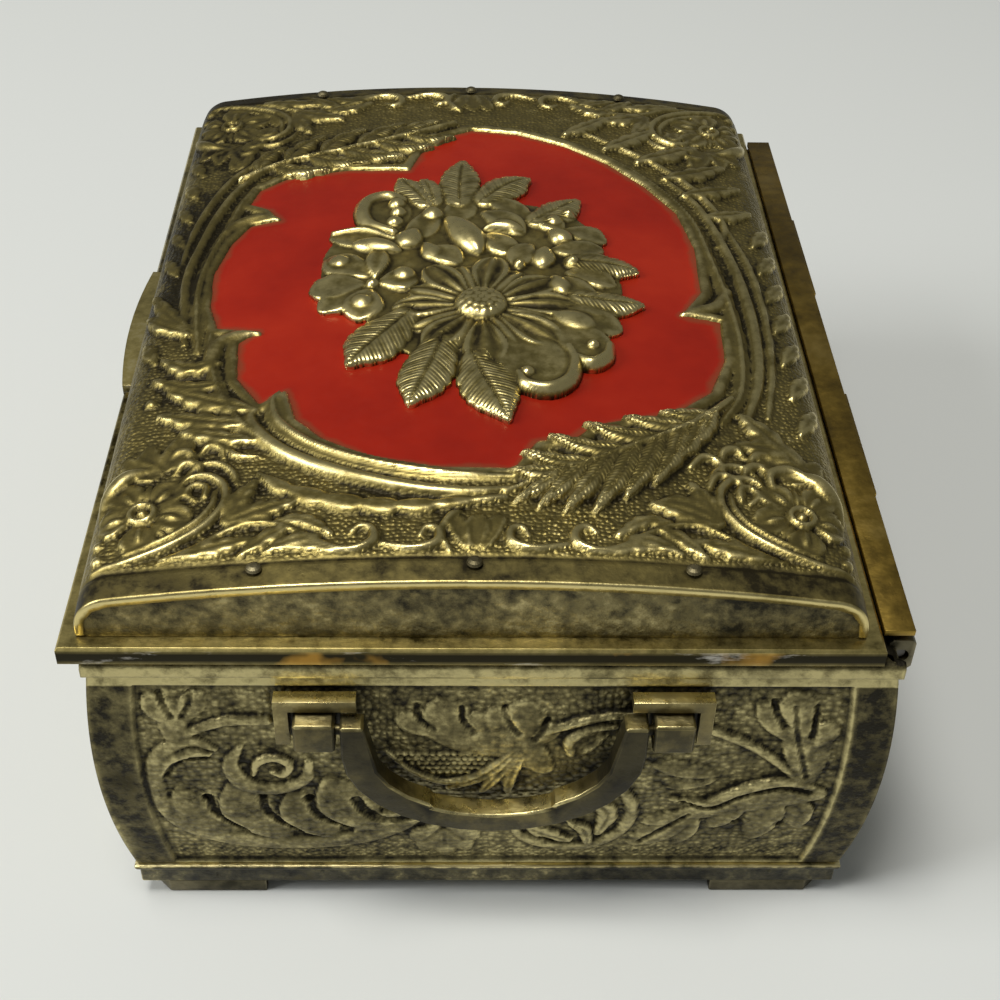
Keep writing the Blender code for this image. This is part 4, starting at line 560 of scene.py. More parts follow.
    # strands up the right side
    r.stroke(
        [(29.6, -30.0, 0.5, 0.6), (32.6, -24.0, 1.0, 1.0), (33.8, -15.0, 1.1, 1.05), (33.6, -5.0, 1.0, 1.0),
        (32.4, 6.0, 0.9, 0.95), (30.8, 17.0, 0.7, 0.8), (26.6, 25.6, 0.6, 0.7), (20.8, 32.6, 0.55, 0.65),
        (13.6, 37.8, 0.5, 0.65), (5.0, 41.0, 0.5, 0.6), (-1.6, 41.6, 0.5, 0.5)], flutes=2)
    r.stroke(
        [(32.6, -29.6, 0.5, 0.5), (35.2, -21.0, 0.85, 0.9), (36.2, -11.0, 0.9, 0.95),
        (36.0, 0.0, 0.85, 0.9), (34.6, 11.0, 0.75, 0.8), (32.2, 21.0, 0.6, 0.7), (28.0, 28.6, 0.4, 0.5)])
    r.stroke(
        [(35.6, -28.0, 0.35, 0.4), (37.4, -18.0, 0.6, 0.6), (38.2, -7.0, 0.6, 0.65), (37.8, 5.0, 0.6, 0.6),
        (36.0, 15.0, 0.4, 0.4)])
    r.stroke(
        [(27.1, -7.7, 0.45, 0.35), (29.4, -6.6, 0.8, 0.75), (32.0, -5.2, 1.0, 0.9), (33.8, -1.6, 0.8, 0.8)])
    # leaves and curls right of the large leaf
    r.leaf([(38.4, -37.4, 0.6), (35.6, -34.6, 2.4), (31.0, -34.0, 0.6)], 0.8, lobes=4, notch=0.3)
    r.leaf([(37.6, -36.6, 0.6), (34.6, -31.8, 2.0), (32.0, -28.4, 0.5)], 0.85, lobes=4, notch=0.3)
    r.leaf([(26.6, -46.8, 0.6), (23.4, -45.2, 1.9), (20.4, -45.4, 0.5)], 0.75, lobes=3, notch=0.3)
    for rows in (
            ((24.8, -38.6, 0.3, 0.5), (26.4, -36.8, 0.6, 0.85), (28.2, -37.4, 0.5, 0.8),
            (28.8, -40.2, 0.4, 0.5)), ((26.6, -42.2, 0.3, 0.4), (28.0, -39.8, 0.5, 0.8),
            (30.2, -40.6, 0.5, 0.75), (30.6, -42.6, 0.3, 0.4)),
            ((34.4, -41.6, 0.3, 0.4), (34.2, -38.8, 0.7, 0.9), (36.6, -37.8, 0.8, 1.0),
            (39.2, -39.8, 0.6, 0.9), (41.8, -43.8, 0.4, 0.5))):
        r.stroke(rows)
    # leafy row on the right shoulder, and its fainter match on the left
    for y in (-27.0, -20.0, -13.0, -6.0, 1.0, 8.0, 15.0):
        r.leaf([(39.2, y - 3.6, 0.4), (40.6, y - 0.8, 1.3), (41.8, y + 1.6, 0.4)], 0.8, lobes=3, notch=0.4)
    for y in (-14.0, 6.0, 13.0, 20.0, 27.0, 34.0):
        r.leaf([(-39.6, y - 3.4, 0.4), (-40.8, y - 0.8, 1.1), (-41.8, y + 1.4, 0.4)], 0.6, lobes=3, notch=0.4)
    # leaf at the far left, its tips over the red field
    for rows in (
            ((-29.0, 30.2, 0.9), (-25.4, 28.4, 1.9), (-20.6, 28.2, 0.3)),
            ((-24.0, 32.4, 1.0), (-20.0, 30.4, 2.1), (-14.6, 30.0, 0.3)),
            ((-19.0, 34.0, 1.0), (-15.0, 32.0, 2.2), (-9.8, 31.6, 0.3)),
            ((-14.0, 36.0, 1.0), (-10.4, 34.4, 2.0), (-5.6, 34.6, 0.3)),
            ((-9.6, 38.2, 0.9), (-6.4, 37.0, 1.7), (-2.6, 37.8, 0.3)),
            ((-31.0, 29.0, 0.9), (-30.6, 32.6, 1.7), (-27.6, 36.4, 0.3)),
            ((-27.0, 31.4, 1.0), (-25.6, 35.2, 2.0), (-21.8, 39.2, 0.3)),
            ((-22.0, 33.2, 1.0), (-20.0, 37.0, 2.1), (-15.8, 41.0, 0.3)),
            ((-16.8, 35.0, 1.0), (-14.4, 38.6, 2.0), (-10.0, 42.4, 0.3)),
            ((-11.6, 37.4, 0.9), (-9.2, 40.4, 1.6), (-5.0, 43.2, 0.3))):
        r.leaf(rows, 1.05, lobes=3, notch=0.38, sweep=0.8, fold=0.16, ribbed=True)
    r.stroke(
        [(x, y, 0.4, 1.2) for x, y in ((-33.6, 27.0), (-27.0, 31.2), (-19.0, 34.0), (-11.0, 37.4),
        (-2.4, 42.0))])
    # sprays beyond the field
    for rows in (
            ((30.6, 23.4, 0.6), (34.6, 25.2, 1.8), (39.2, 27.2, 0.5)),
            ((28.2, 28.0, 0.6), (32.6, 30.2, 2.0), (37.6, 33.6, 0.5)),
            ((24.6, 32.6, 0.6), (29.2, 35.4, 2.0), (34.0, 39.0, 0.5)),
            ((33.0, 17.6, 0.5), (36.2, 18.6, 1.6), (39.8, 20.2, 0.5)),
            ((20.0, 36.0, 0.6), (23.8, 39.2, 1.9), (28.0, 43.2, 0.5)),
            ((14.2, 40.0, 0.6), (17.4, 42.6, 1.7), (20.8, 46.2, 0.5))):
        r.leaf(rows, 0.95, lobes=4, notch=0.35)
    r.stroke(
        [(34.0, 10.0, 0.4, 0.4), (35.6, 16.0, 0.6, 0.7), (32.8, 24.6, 0.6, 0.75), (26.6, 33.0, 0.55, 0.7),
        (17.0, 41.2, 0.4, 0.5)])
    for x, y in (
            (-33.0, 38.0), (-31.0, 42.0), (-34.6, 33.4), (-26.0, 44.6), (30.6, 41.4), (34.6, 36.6),
            (-29.6, 47.0)):
        r.lobe(x, y - 2.2, x + 0.6, y + 2.4, 3.0, 0.75, "cup", 0.06)


def fine_rows(edge, step, fillet):
    """Even stations between two rounded ends, as many as a coarse back needs."""
    inner = edge - fillet
    end = inner + fillet * np.sin(np.radians([18, 36, 54, 72, 90]))
    count = int(round(2 * inner / step))
    count += -(count + 2 * len(end)) % BACK_STEP
    return np.concatenate([-end[::-1], np.linspace(-inner, inner, count + 1), end])


def build_lid_top():
    """The embossed sheet of the lid, over its crown, shoulders and feet, with both end bands."""
    s = np.linspace(-ARC_FOOT, ARC_FOOT, 313)
    y = fine_rows(GABLE_Y, 0.3, EDGE_ROUND)
    cell = s[1] - s[0]
    r = Relief(s, y)
    distance = polygon_distance(r.X, r.Y, CARTOUCHE)
    inner = GABLE_Y - BAND
    # a thin raised lip follows the whole outline of the red field
    lip = np.clip(1 - ((distance + 0.75) / 0.8) ** 2, 0, 1) ** 0.5
    r.h = np.maximum(r.h, 0.5 * lip)
    frame_ornament(r)
    for mx in (-1, 1):
        for my in (-1, 1):
            corner_ornament(r, mx, my)
    for my in (-1, 1):
        end_ornament(r, my)
    r.h = blur(r.h, 0.42)
    # the red field's floor, and the plain foot and bands
    floor = np.clip((distance + 0.05) / 0.35, 0, 1)
    horns = r.h > 0.25
    open_field = floor * np.where(horns & (distance < 1.4), 0.0, 1.0)
    r.h = r.h * (1 - open_field) - FIELD_DEPTH * open_field
    quiet = np.clip((r.h - 0.05) / 0.2, 0, 1)
    ground = (1 - quiet) * (1 - open_field)
    fade = np.clip((ARC_END - 1.2 - np.abs(r.X)) / 1.5, 0, 1)
    fade = fade * np.clip((inner - 0.25 - np.abs(r.Y)) / 0.5, 0, 1)
    r.h = np.where(open_field > 0, r.h, r.h * np.clip(fade * 1.6, 0, 1))
    r.h -= 0.18 * np.exp(-((np.abs(r.Y) - inner) / 0.28) ** 2) * np.clip((ARC_END - np.abs(r.X)) / 2, 0, 1)
    # a dimple round each rivet
    for my in (-1, 1):
        for x in RIVETS_X:
            hole = np.hypot(r.X - x, r.Y - my * RIVETS_Y)
            r.h -= 0.16 * np.exp(-(hole / 1.5) ** 2)
    # the bands and the left side are darker
    wear_and_shade = r.wear_and_shade(cell, 0.6, 2.6) - 0.27 * (np.abs(r.Y) > inner)
    wear_and_shade = wear_and_shade - 0.16 * np.clip((-r.X - 30) / 6, 0, 1) * np.clip((r.Y + 12) / 10, 0, 1)
    wear_and_shade = wear_and_shade - 0.12 * np.clip((-r.X - 20) / 8, 0, 1)
    # the rounded edge over each gable is lighter: rubbed brass with a painted highlight
    past = np.maximum(np.abs(r.Y) - (GABLE_Y - EDGE_ROUND), 0)
    fall = EDGE_ROUND - np.sqrt(np.maximum(EDGE_ROUND ** 2 - past ** 2, 0))
    wear_and_shade = np.clip(wear_and_shade + 0.9 * np.clip(past / EDGE_ROUND, 0, 1) ** 0.5, 0, 1)
    place, out = dome_frame(r.X, r.Y)
    front = place + out * (r.h - fall)[..., None]
    place, out = dome_frame(*np.meshgrid(s[::BACK_STEP], y[::BACK_STEP]))
    back = place - out * LID_SHEET
    back[..., 2] = np.maximum(back[..., 2], DOME_BASE)
    values = {"wear_and_shade": wear_and_shade, "ground": ground * fade, "rib": r.rib, "hatch": r.hatch * quiet}
    return closed_plate("lid_dome", front, back, values)


def build_gable(name, side):
    """The upright end of the lid, a little behind the rounded edge."""
    s = np.linspace(-ARC_END - 0.2, ARC_END + 0.2, 241)
    y = side * (GABLE_Y - GABLE_SETBACK)
    place, out = dome_frame(s, np.full_like(s, y))
    rim, low = place - out * 0.5, DOME_BASE - 0.25
    share = np.linspace(0, 1, 25)[:, None]
    u, v = rim[None, :, 0] + 0 * share, low + share * (rim[None, :, 2] - low)
    dent = 0.05 * np.sin(u * 0.21) * np.sin(v * 0.9) + 0.02 * np.sin(u * 1.3 + v) * np.sin(v * 2.1)
    front = np.stack([u, y + side * dent, v], axis=-1)
    back = front[::BACK_STEP, ::BACK_STEP].copy()
    back[..., 1] = y - side * 0.9
    # painted shade just under the lid's rounded edge, lighter towards the foot
    height = np.clip(rim[None, :, 2] - v, 0, 10)
    if side > 0:
        front, back, height = front[:, ::-1], back[:, ::-1], height[:, ::-1]
    wear_and_shade = np.clip(0.40 - 0.35 * np.exp(-(height / 0.8)) + 0.10 * np.clip((height - 4) / 4, 0, 1), 0, 1)
    return closed_plate(name, front, back, {"wear_and_shade": wear_and_shade})


def build_enamel():
    """The red field, as far as its outline and a little under the lip round it."""
    step = 0.4
    s = np.arange(-38, 38 + step / 2, step)
    y = np.arange(-44, 44 + step / 2, step)
    X, Y = np.meshgrid(s, y)
    distance = polygon_distance(X, Y, CARTOUCHE)
    X, Y, inside = on_outline(X, Y, distance, -0.6)
    place, out = dome_frame(X, Y)
    level = 0.02 - 0.14 * np.clip(distance / 1.2, 0, 1) + 0.012 * np.sin(X * 0.5) * np.cos(Y * 0.43)
    front = place + out * level[..., None]
    back = place - out * 0.35
    return masked_slab("enamel_skin", front, back, inside, {"edge": np.clip(distance, -1, 6)})


def build_bouquet():
    """The oval bunch: leaves, petals, a rosebud and a daisy on one sheet that follows the dome."""
    step = 0.2
    xs = np.arange(-24, 25 + step / 2, step)
    ys = np.arange(-34, 31 + step / 2, step)
    r = Relief(xs, ys, ground=-1.0)
    # the sheet that the flowers stand on
    for x, y, radius in (
            (0, -7, 14), (-8, 2, 12), (6, 6, 11.5), (-2, 12, 9), (4, -13, 9), (11, -3, 8.5), (-15, 0, 5)):
        win = np.hypot(r.X - x, r.Y - y) < radius
        r.h = np.where(win, np.maximum(r.h, 0.12), r.h)
    # short broad leaves round the bunch
    for rows in (
            ((-8.6, -11.4, 2.2), (-10.8, -14.6, 3.5), (-13.2, -18.0, 3.4), (-15.0, -20.6, 0.8)),
            ((-4.0, -17.0, 2.4), (-5.2, -21.6, 3.3), (-6.4, -25.4, 3.0), (-7.4, -28.4, 0.8)),
            ((0.2, -20.6, 1.8), (1.2, -24.0, 3.4), (2.6, -27.8, 3.2), (4.0, -31.6, 0.5)),
            ((-1.8, 17.6, 2.0), (-1.8, 21.4, 2.8), (-1.6, 25.4, 2.7), (-1.3, 29.0, 0.7)),
            ((1.8, 18.0, 2.0), (4.2, 21.2, 2.9), (6.2, 23.2, 2.5), (8.0, 24.4, 0.5)),
            ((9.0, 12.6, 2.0), (11.6, 15.2, 2.7), (13.4, 17.2, 2.1), (15.0, 18.9, 0.4)),
            ((13.8, 2.0, 2.0), (17.2, 1.8, 2.5), (19.6, 1.4, 2.2), (21.8, 0.9, 0.4)),
            ((13.8, -6.6, 2.0), (17.4, -7.2, 2.5), (19.8, -7.2, 2.0), (21.9, -7.0, 0.4)),
            ((-6.6, 17.2, 1.6), (-8.2, 20.4, 2.3), (-9.4, 22.4, 1.9), (-10.2, 24.1, 0.5)),
            ((-5.4, 17.6, 1.4), (-6.0, 20.6, 1.9), (-6.6, 22.6, 1.4), (-6.9, 23.8, 0.4))):
        r.leaf(rows, 0.95, lobes=6, notch=0.12, sweep=0.7, fold=0.10, ribbed=True)
    # broad petals with rolled rims, lower right
    r.lobe(6.2, -12.6, 9.0, -26.6, 9.6, 1.15, "soft", -0.04, full=1.4)
    r.stroke(
        [(5.4, -23.4, 0.6, 1.1), (6.4, -25.6, 0.9, 1.45), (9.2, -26.2, 1.05, 1.6), (11.6, -24.2, 1.0, 1.5),
        (12.4, -20.8, 0.9, 1.3), (11.8, -17.6, 0.6, 1.1)], power=0.7)
    r.dome(6.5, -23.2, 1.0, 1.5)
    r.lobe(9.6, -11.4, 16.0, -20.6, 7.0, 1.2, "soft", 0.05, full=1.4)
    r.stroke(
        [(12.4, -19.4, 0.5, 1.0), (14.4, -20.8, 0.95, 1.5), (16.4, -19.2, 0.9, 1.5),
        (17.0, -16.6, 0.6, 1.2)], power=0.7)
    r.dome(14.8, -17.2, 0.9, 1.6)
    r.lobe(11.4, -9.2, 18.8, -13.0, 5.6, 1.1, "soft", -0.05, full=1.35)
    r.lobe(11.0, -8.6, 18.6, -9.4, 4.4, 1.2, "soft", 0.05, full=1.3)
    r.lobe(9.6, -10.6, 15.6, -13.6, 4.6, 1.35, "dome", 0.04, full=1.2)
    # petals in two tiers at the left, and the large five-petalled blossom below them
    r.lobe(-9.6, 5.4, -19.4, 9.0, 5.0, 1.0, "soft", -0.05, full=1.3)
    r.stroke([(-10.6, 7.2, 0.5, 1.0), (-14.6, 9.4, 0.65, 1.35), (-18.8, 9.4, 0.5, 1.1)], power=0.7)
    r.lobe(-9.4, 4.4, -16.4, 6.2, 3.4, 1.45, "dome", -0.04, full=1.1)
    for x0, y0, x1, y1, width, height in (
            (-13.4, -1.8, -19.6, 3.2, 5.6, 1.25), (-13.8, -3.2, -21.2, -4.6, 5.8, 1.1),
            (-13.2, -4.4, -14.6, -11.4, 5.4, 1.2), (-12.4, -3.2, -7.0, -2.6, 5.0, 1.35),
            (-12.8, -2.2, -12.4, 4.6, 3.2, 1.6), (-14.4, -4.4, -19.6, -9.0, 4.6, 0.95)):
        r.lobe(x0, y0, x1, y1, width, height, "soft", full=1.35)
    for x, y, radius, height in (
            (-17.6, 1.6, 1.7, 1.5), (-9.0, -1.8, 1.7, 1.6), (-14.2, -8.0, 1.6, 1.45),
            (-13.0, -3.6, 0.9, 1.3)):
        r.dome(x, y, radius, height)
    # rosebud: a sheath curled round three lumps
    r.lobe(-10.8, 9.4, -13.4, 19.4, 6.4, 0.7, "soft", -0.06, full=1.1)
    r.stroke(
        [(-10.8, 9.2, 0.8, 1.1), (-14.0, 11.2, 1.2, 1.3), (-15.2, 14.6, 1.25, 1.4), (-14.4, 17.8, 1.2, 1.4),
        (-11.8, 19.0, 1.1, 1.35), (-9.9, 17.6, 1.0, 1.3)], power=0.7)
    for x, y, radius, height in ((-10.5, 16.4, 1.3, 1.5), (-10.2, 14.0, 1.2, 1.6), (-10.6, 11.8, 1.2, 1.4)):
        r.dome(x, y, radius, height)
    # petals across the middle
    for x0, y0, x1, y1, width, height, style, bend in (
            (-5.4, 15.6, -8.4, 7.0, 4.6, 1.0, "soft", 0.05), (-7.4, 9.6, -9.6, 5.2, 4.2, 1.45, "dome", 0.0),
            (-0.6, 19.6, -2.4, 12.0, 4.6, 0.7, "soft", 0.0),
            (1.4, 18.6, 7.8, 12.4, 4.2, 1.15, "soft", 0.08), (1.0, 14.8, 7.0, 8.8, 4.4, 1.35, "soft", 0.06),
            (1.4, 9.8, 7.0, 9.6, 2.6, 1.6, "dome", 0.12), (1.8, 8.8, 5.6, 3.6, 4.4, 1.3, "soft", 0.0),
            (8.0, 6.8, 5.6, 0.6, 3.8, 1.25, "soft", -0.04), (-6.6, 4.6, -1.4, 1.4, 4.4, 1.35, "soft", 0.08),
            (-6.6, 6.4, -4.4, 1.8, 3.2, 1.2, "dome", 0.0), (7.6, 13.6, 12.6, 10.4, 4.0, 1.3, "soft", 0.05),
            (9.4, 16.0, 14.2, 13.4, 3.6, 1.25, "soft", -0.05),
            (10.2, 9.6, 13.4, 7.0, 3.4, 1.6, "dome", 0.0), (12.4, 10.6, 18.2, 8.2, 4.6, 1.0, "soft", 0.05),
            (10.4, 5.2, 17.8, 6.0, 4.4, 1.15, "soft", -0.05), (9.8, 5.6, 9.2, 0.6, 3.4, 1.45, "dome", 0.0),
            (12.4, 1.2, 19.0, 3.2, 3.8, 1.2, "soft", 0.05),
            (12.0, -0.2, 18.8, -2.8, 4.2, 1.15, "soft", 0.05),
            (11.6, -1.4, 15.6, -7.0, 4.2, 1.3, "soft", -0.05),
            (10.4, -1.6, 12.0, -6.4, 3.4, 1.5, "dome", 0.0)):
        r.lobe(x0, y0, x1, y1, width, height, style, bend, full=1.25)
    for x, y, radius, height in (
            (-5.5, 13.6, 1.6, 1.6), (13.2, 1.8, 0.95, 1.7), (13.3, 14.2, 0.9, 1.5), (11.2, 12.2, 1.3, 1.5),
            (6.2, 0.9, 0.8, 1.5)):
        r.dome(x, y, radius, height)
    r.lobe(-3.8, 12.6, 1.0, 3.4, 4.8, 2.0, "dome", 0.05, full=1.1)
    # the daisy: broad petals with the shade of a hollow painted dark along each, smaller ones between, a
    # stippled middle
    petal_hollow_shade = Relief(xs, ys)
    d = Placed(r)
    for turn in (57, 104, 156, -152, -110, -62, -16):
        d.ray(DAISY, 2, 10.2, turn, 4.4, 1.15, "ribbed", full=1.3)
    for turn, reach, width in (
            (80, 12.3, 4.9), (33, 12.2, 5.0), (3, 12.6, 5.0), (-39, 12.6, 5.4), (-88, 13.2, 5.6),
            (-129, 11.2, 4.8), (180, 11.4, 4.6), (126, 12.0, 4.9)):
        d.ray(DAISY, 2.4, reach, turn, width, 1.5, "ribbed", 0.02, full=1.5)
        places = ((4.4, 0.3), (7.4, 1.3), (reach - 1.2, 0.5))
        petal_hollow_shade.stroke([(*around(DAISY, place, math.radians(turn)), half, 1) for place, half in places])
    r.h = np.where(np.hypot(r.X - DAISY[0], r.Y - DAISY[1]) < 3.8, np.minimum(r.h, 1.0), r.h)
    r.dome(*DAISY, 3.3, 0.95, base=0.9)
    for ring, count in ((0.0, 1), (0.85, 6), (1.7, 11), (2.55, 16)):
        for k in range(count):
            angle = 2 * math.pi * (k + 0.5 * (ring > 1)) / count
            r.dome(*around(DAISY, ring, angle), 0.44, 0.3, sink=True)
    cover = blur(np.where(r.h > -0.9, 1.0, 0.0), 1.1)
    X, Y, inside = on_outline(r.X, r.Y, cover, 0.38)
    place, out = dome_frame(X, Y)
    flowers = np.maximum(r.h, 0.0)
    height = 0.12 + 0.34 * blur(flowers, 1.6 / step) + 0.34 * blur(flowers, 0.35 / step) + 0.55 * flowers
    height = np.clip(height, 0, 2.3) * np.clip((cover - 0.30) / 0.45, 0, 1) ** 0.6
    shown = Relief(xs, ys)
    shown.h = np.maximum(r.h, 0.0)
    # the petals' hollows are painted dark as shade, by the streaks drawn above
    wear_and_shade = np.clip(shown.wear_and_shade(step, 0.5, 2.0, 2.2) + 0.10 - 0.50 * blur(petal_hollow_shade.h, 1.2), 0, 1)
    front = place + out * height[..., None]
    back = place - out * 0.42
    return masked_slab("bouquet_flowers", front, back, inside, {"wear_and_shade": wear_and_shade, "rib": r.rib, "hatch": r.hatch})


# The walls

def face_reach(z):
    """How far a wall's face stands out at a height: it leans in to its foot and bows outwards."""
    share = np.clip((z - WALL_LOW) / (WALL_TOP - LIP_HEIGHT - WALL_LOW), 0, 1)
    return -WALL_BATTER * (1 - share) + 4 * WALL_BULGE * share * (1 - share)


def volute_left(d):
    """The large acanthus volute, drawn for the left of the photographed end."""
    # the band that sweeps round the whole volute
    d.stroke(
        (-28.8, -16.4, 0.4, 0.35), (-31.6, -15.0, 0.9, 0.5), (-34.8, -17.0, 1.1, 0.55),
        (-36.2, -21.2, 1.1, 0.5), (-36.0, -26.0, 1.2, 0.5), (-33.6, -31.0, 1.5, 0.55),
        (-28.2, -34.0, 1.6, 0.6), (-21.4, -34.8, 1.5, 0.6), (-14.4, -33.8, 1.5, 0.6),
        (-9.2, -31.4, 1.3, 0.5), (-5.2, -28.6, 0.4, 0.35), power=0.3)
    # fingers that lean out of the band, each over the last
    for x0, z0, x1, z1, width, height in (
            (-27.4, -33.8, -33.9, -23.2, 5.0, 0.75), (-21.4, -34.4, -27.6, -22.2, 6.4, 0.88),
            (-15.6, -33.8, -20.9, -23.8, 5.8, 0.95), (-9.6, -32.0, -16.6, -21.2, 6.6, 1.0),
            (-14.6, -33.4, -5.6, -28.6, 4.0, 0.85)):
        d.lobe(x0, z0, x1, z1, width, height, "fold", 0.10, full=1.25)
    for places in (
            ((-30.6, -25.2), (-29.9, -28.4), (-27.0, -31.8)),
            ((-24.2, -25.0), (-23.7, -28.4), (-20.6, -32.0)),
            ((-18.8, -25.2), (-18.2, -28.2), (-15.0, -31.2))):
        d.crease(0.5, 0.5, *places)
    d.crease(0.6, 0.7, (-13.4, -25.4), (-12.2, -28.0), (-9.4, -29.4), (-6.0, -28.4))
    for x, z in ((-30.6, -25.4), (-24.3, -25.2), (-18.9, -25.4)):
        d.pit(x, z, 0.75, 0.4)
    # the curled tip at the left
    d.stroke(
        (-35.0, -20.6, 0.4, 0.45), (-34.0, -18.4, 0.9, 0.7), (-31.6, -17.0, 0.9, 0.7),
        (-29.6, -17.2, 0.4, 0.5), power=0.35)
    d.crease(0.45, 0.45, (-34.6, -20.8), (-33.4, -18.8), (-31.4, -17.8), (-29.8, -17.9))
    # the inner volute and its eye
    d.stroke(
        (-26.0, -16.0, 0.4, 0.45), (-27.2, -19.0, 1.0, 0.65), (-26.0, -22.4, 1.2, 0.65),
        (-22.4, -23.4, 1.0, 0.6), (-19.0, -21.6, 0.8, 0.5), (-18.4, -18.6, 0.5, 0.4), power=0.35)
    d.stroke(
        (-24.8, -20.8, 0.3, 0.5), (-24.2, -18.6, 0.6, 0.7), (-22.2, -17.7, 0.65, 0.75),
        (-20.6, -19.0, 0.6, 0.75), (-21.4, -20.7, 0.5, 0.7), (-22.7, -20.2, 0.35, 0.6))


def leaf_trio(d, x, z):
    """A small curled leaf of three lobes on its stem."""
    d.stroke(
        (x - 0.4, z + 2.0, 2.0, 0.45), (x - 0.2, z - 1.2, 1.3, 0.45), (x + 1.6, z - 0.4, 0.7, 0.5),
        (x + 5.4, z + 1.2, 0.8, 0.55), (x + 10.0, z + 1.2, 0.7, 0.45), power=0.35)
    for tip_x, tip_z, width in ((-3.4, 5.4, 3.2), (2.8, 5.8, 3.2), (-0.4, 4.6, 3.8)):
        d.lobe(x, z, x + tip_x, z + tip_z, width, 0.62, "fold", full=1.5)
    for near in (-1.0, 1.0):
        d.crease(
            0.38, 0.4, (x + 1.7 * near - 0.2, z + 5.4), (x + 1.4 * near, z + 3.8),
            (x + 0.6 * near, z + 2.0))


def fan(d):
    """The scalloped leaf pair in the middle of a panel, with its spray and beaded patch."""
    d.stroke(
        (-3.8, -13.4, 1.6, 0.45), (-0.4, -14.6, 2.4, 0.5), (3.4, -15.6, 2.2, 0.5), (6.2, -17.0, 2.3, 0.5),
        (8.2, -19.4, 1.3, 0.4), power=0.3)
    for x0, z0, x1, z1, w in (
            (-3.6, -14.4, -8.6, -10.6, 3.0), (1.0, -15.2, 0.6, -10.2, 3.4), (-1.6, -15.2, -3.8, -8.2, 5.2),
            (4.4, -15.8, 2.2, -9.4, 3.2), (6.4, -16.2, 9.6, -12.2, 2.6), (5.6, -15.8, 6.0, -8.4, 4.8)):
        d.lobe(x0, z0, x1, z1, w, 0.68, "fold", full=1.55)
    for places in (
            ((-6.2, -9.6), (-6.0, -11.2), (-4.4, -12.8)), ((-1.2, -9.8), (-1.0, -11.6), (0.2, -13.4)),
            ((3.6, -9.8), (4.0, -11.6), (5.2, -13.6)), ((8.4, -11.6), (7.8, -13.2), (7.0, -14.6))):
        d.crease(0.38, 0.4, *places)
    for k in range(16):
        for m in range(5):
            x, z = -9.2 + 0.8 * k + 0.4 * (m % 2), -17.2 - 0.78 * m
            if x > -9.4 + 1.1 * m and x < 3.6 - 0.9 * m:
                d.dome(x, z, 0.4, 0.36)
    d.stroke(
        (-9.6, -16.6, 0.3, 0.4), (-6.4, -20.4, 0.45, 0.5), (-2.4, -22.0, 0.6, 0.6), (2.0, -19.6, 0.5, 0.6),
        (5.0, -16.6, 0.3, 0.5))
    for rows in (
            ((5.0, -16.2, 0.5), (1.6, -20.4, 1.0), (-2.6, -23.0, 0.4)),
            ((5.2, -16.6, 0.5), (2.8, -20.8, 1.0), (1.2, -23.6, 0.4)),
            ((5.6, -17.0, 0.5), (4.4, -21.0, 0.9), (4.2, -23.8, 0.4))):
        d.leaf(0.8, *rows, lobes=2, notch=0.1)


def ring_volutes(d):
    """The long stem with its curl, and the ring of a volute with two leaves inside."""
    d.stroke(
        (7.0, -14.0, 0.4, 0.5), (10.4, -12.4, 0.7, 0.7), (15.6, -10.8, 0.7, 0.7), (21.6, -11.2, 0.6, 0.6),
        (27.0, -13.2, 0.7, 0.65), (32.0, -16.0, 0.7, 0.65), (36.4, -20.2, 0.6, 0.6),
        (40.0, -25.0, 0.4, 0.4))
    d.stroke(
        (16.0, -12.6, 0.4, 0.5), (13.2, -12.9, 0.7, 0.75), (11.0, -14.8, 0.8, 0.8), (11.2, -17.0, 0.6, 0.6))
    d.lobe(11.6, -17.2, 15.4, -13.4, 2.6, 0.7, "cup", 0.1)
    d.stroke(
        (4.6, -30.4, 0.4, 0.45), (6.4, -33.6, 0.8, 0.6), (9.8, -35.4, 0.9, 0.65), (14.4, -35.4, 0.9, 0.65),
        (17.8, -32.6, 0.9, 0.65), (19.0, -28.4, 0.9, 0.65), (18.0, -24.4, 0.8, 0.6),
        (15.6, -22.4, 0.5, 0.5))
    d.leaf(0.8, (6.6, -30.8, 0.5), (9.0, -32.6, 1.3), (12.0, -34.0, 0.5), lobes=3, notch=0.2)
    d.pit(9.0, -34.0, 1.2, 0.4)
    d.leaf(0.9, (11.8, -30.0, 0.4), (13.6, -31.6, 1.0), (14.4, -34.6, 0.6), lobes=2, notch=0.2)
    d.stroke((11.8, -30.4, 0.3, 0.7), (12.8, -31.0, 0.4, 1.15), (13.6, -31.8, 0.3, 0.8))
    d.leaf(0.75, (14.2, -25.4, 0.6), (16.2, -28.2, 1.4), (15.4, -32.4, 0.6), lobes=3, notch=0.2)


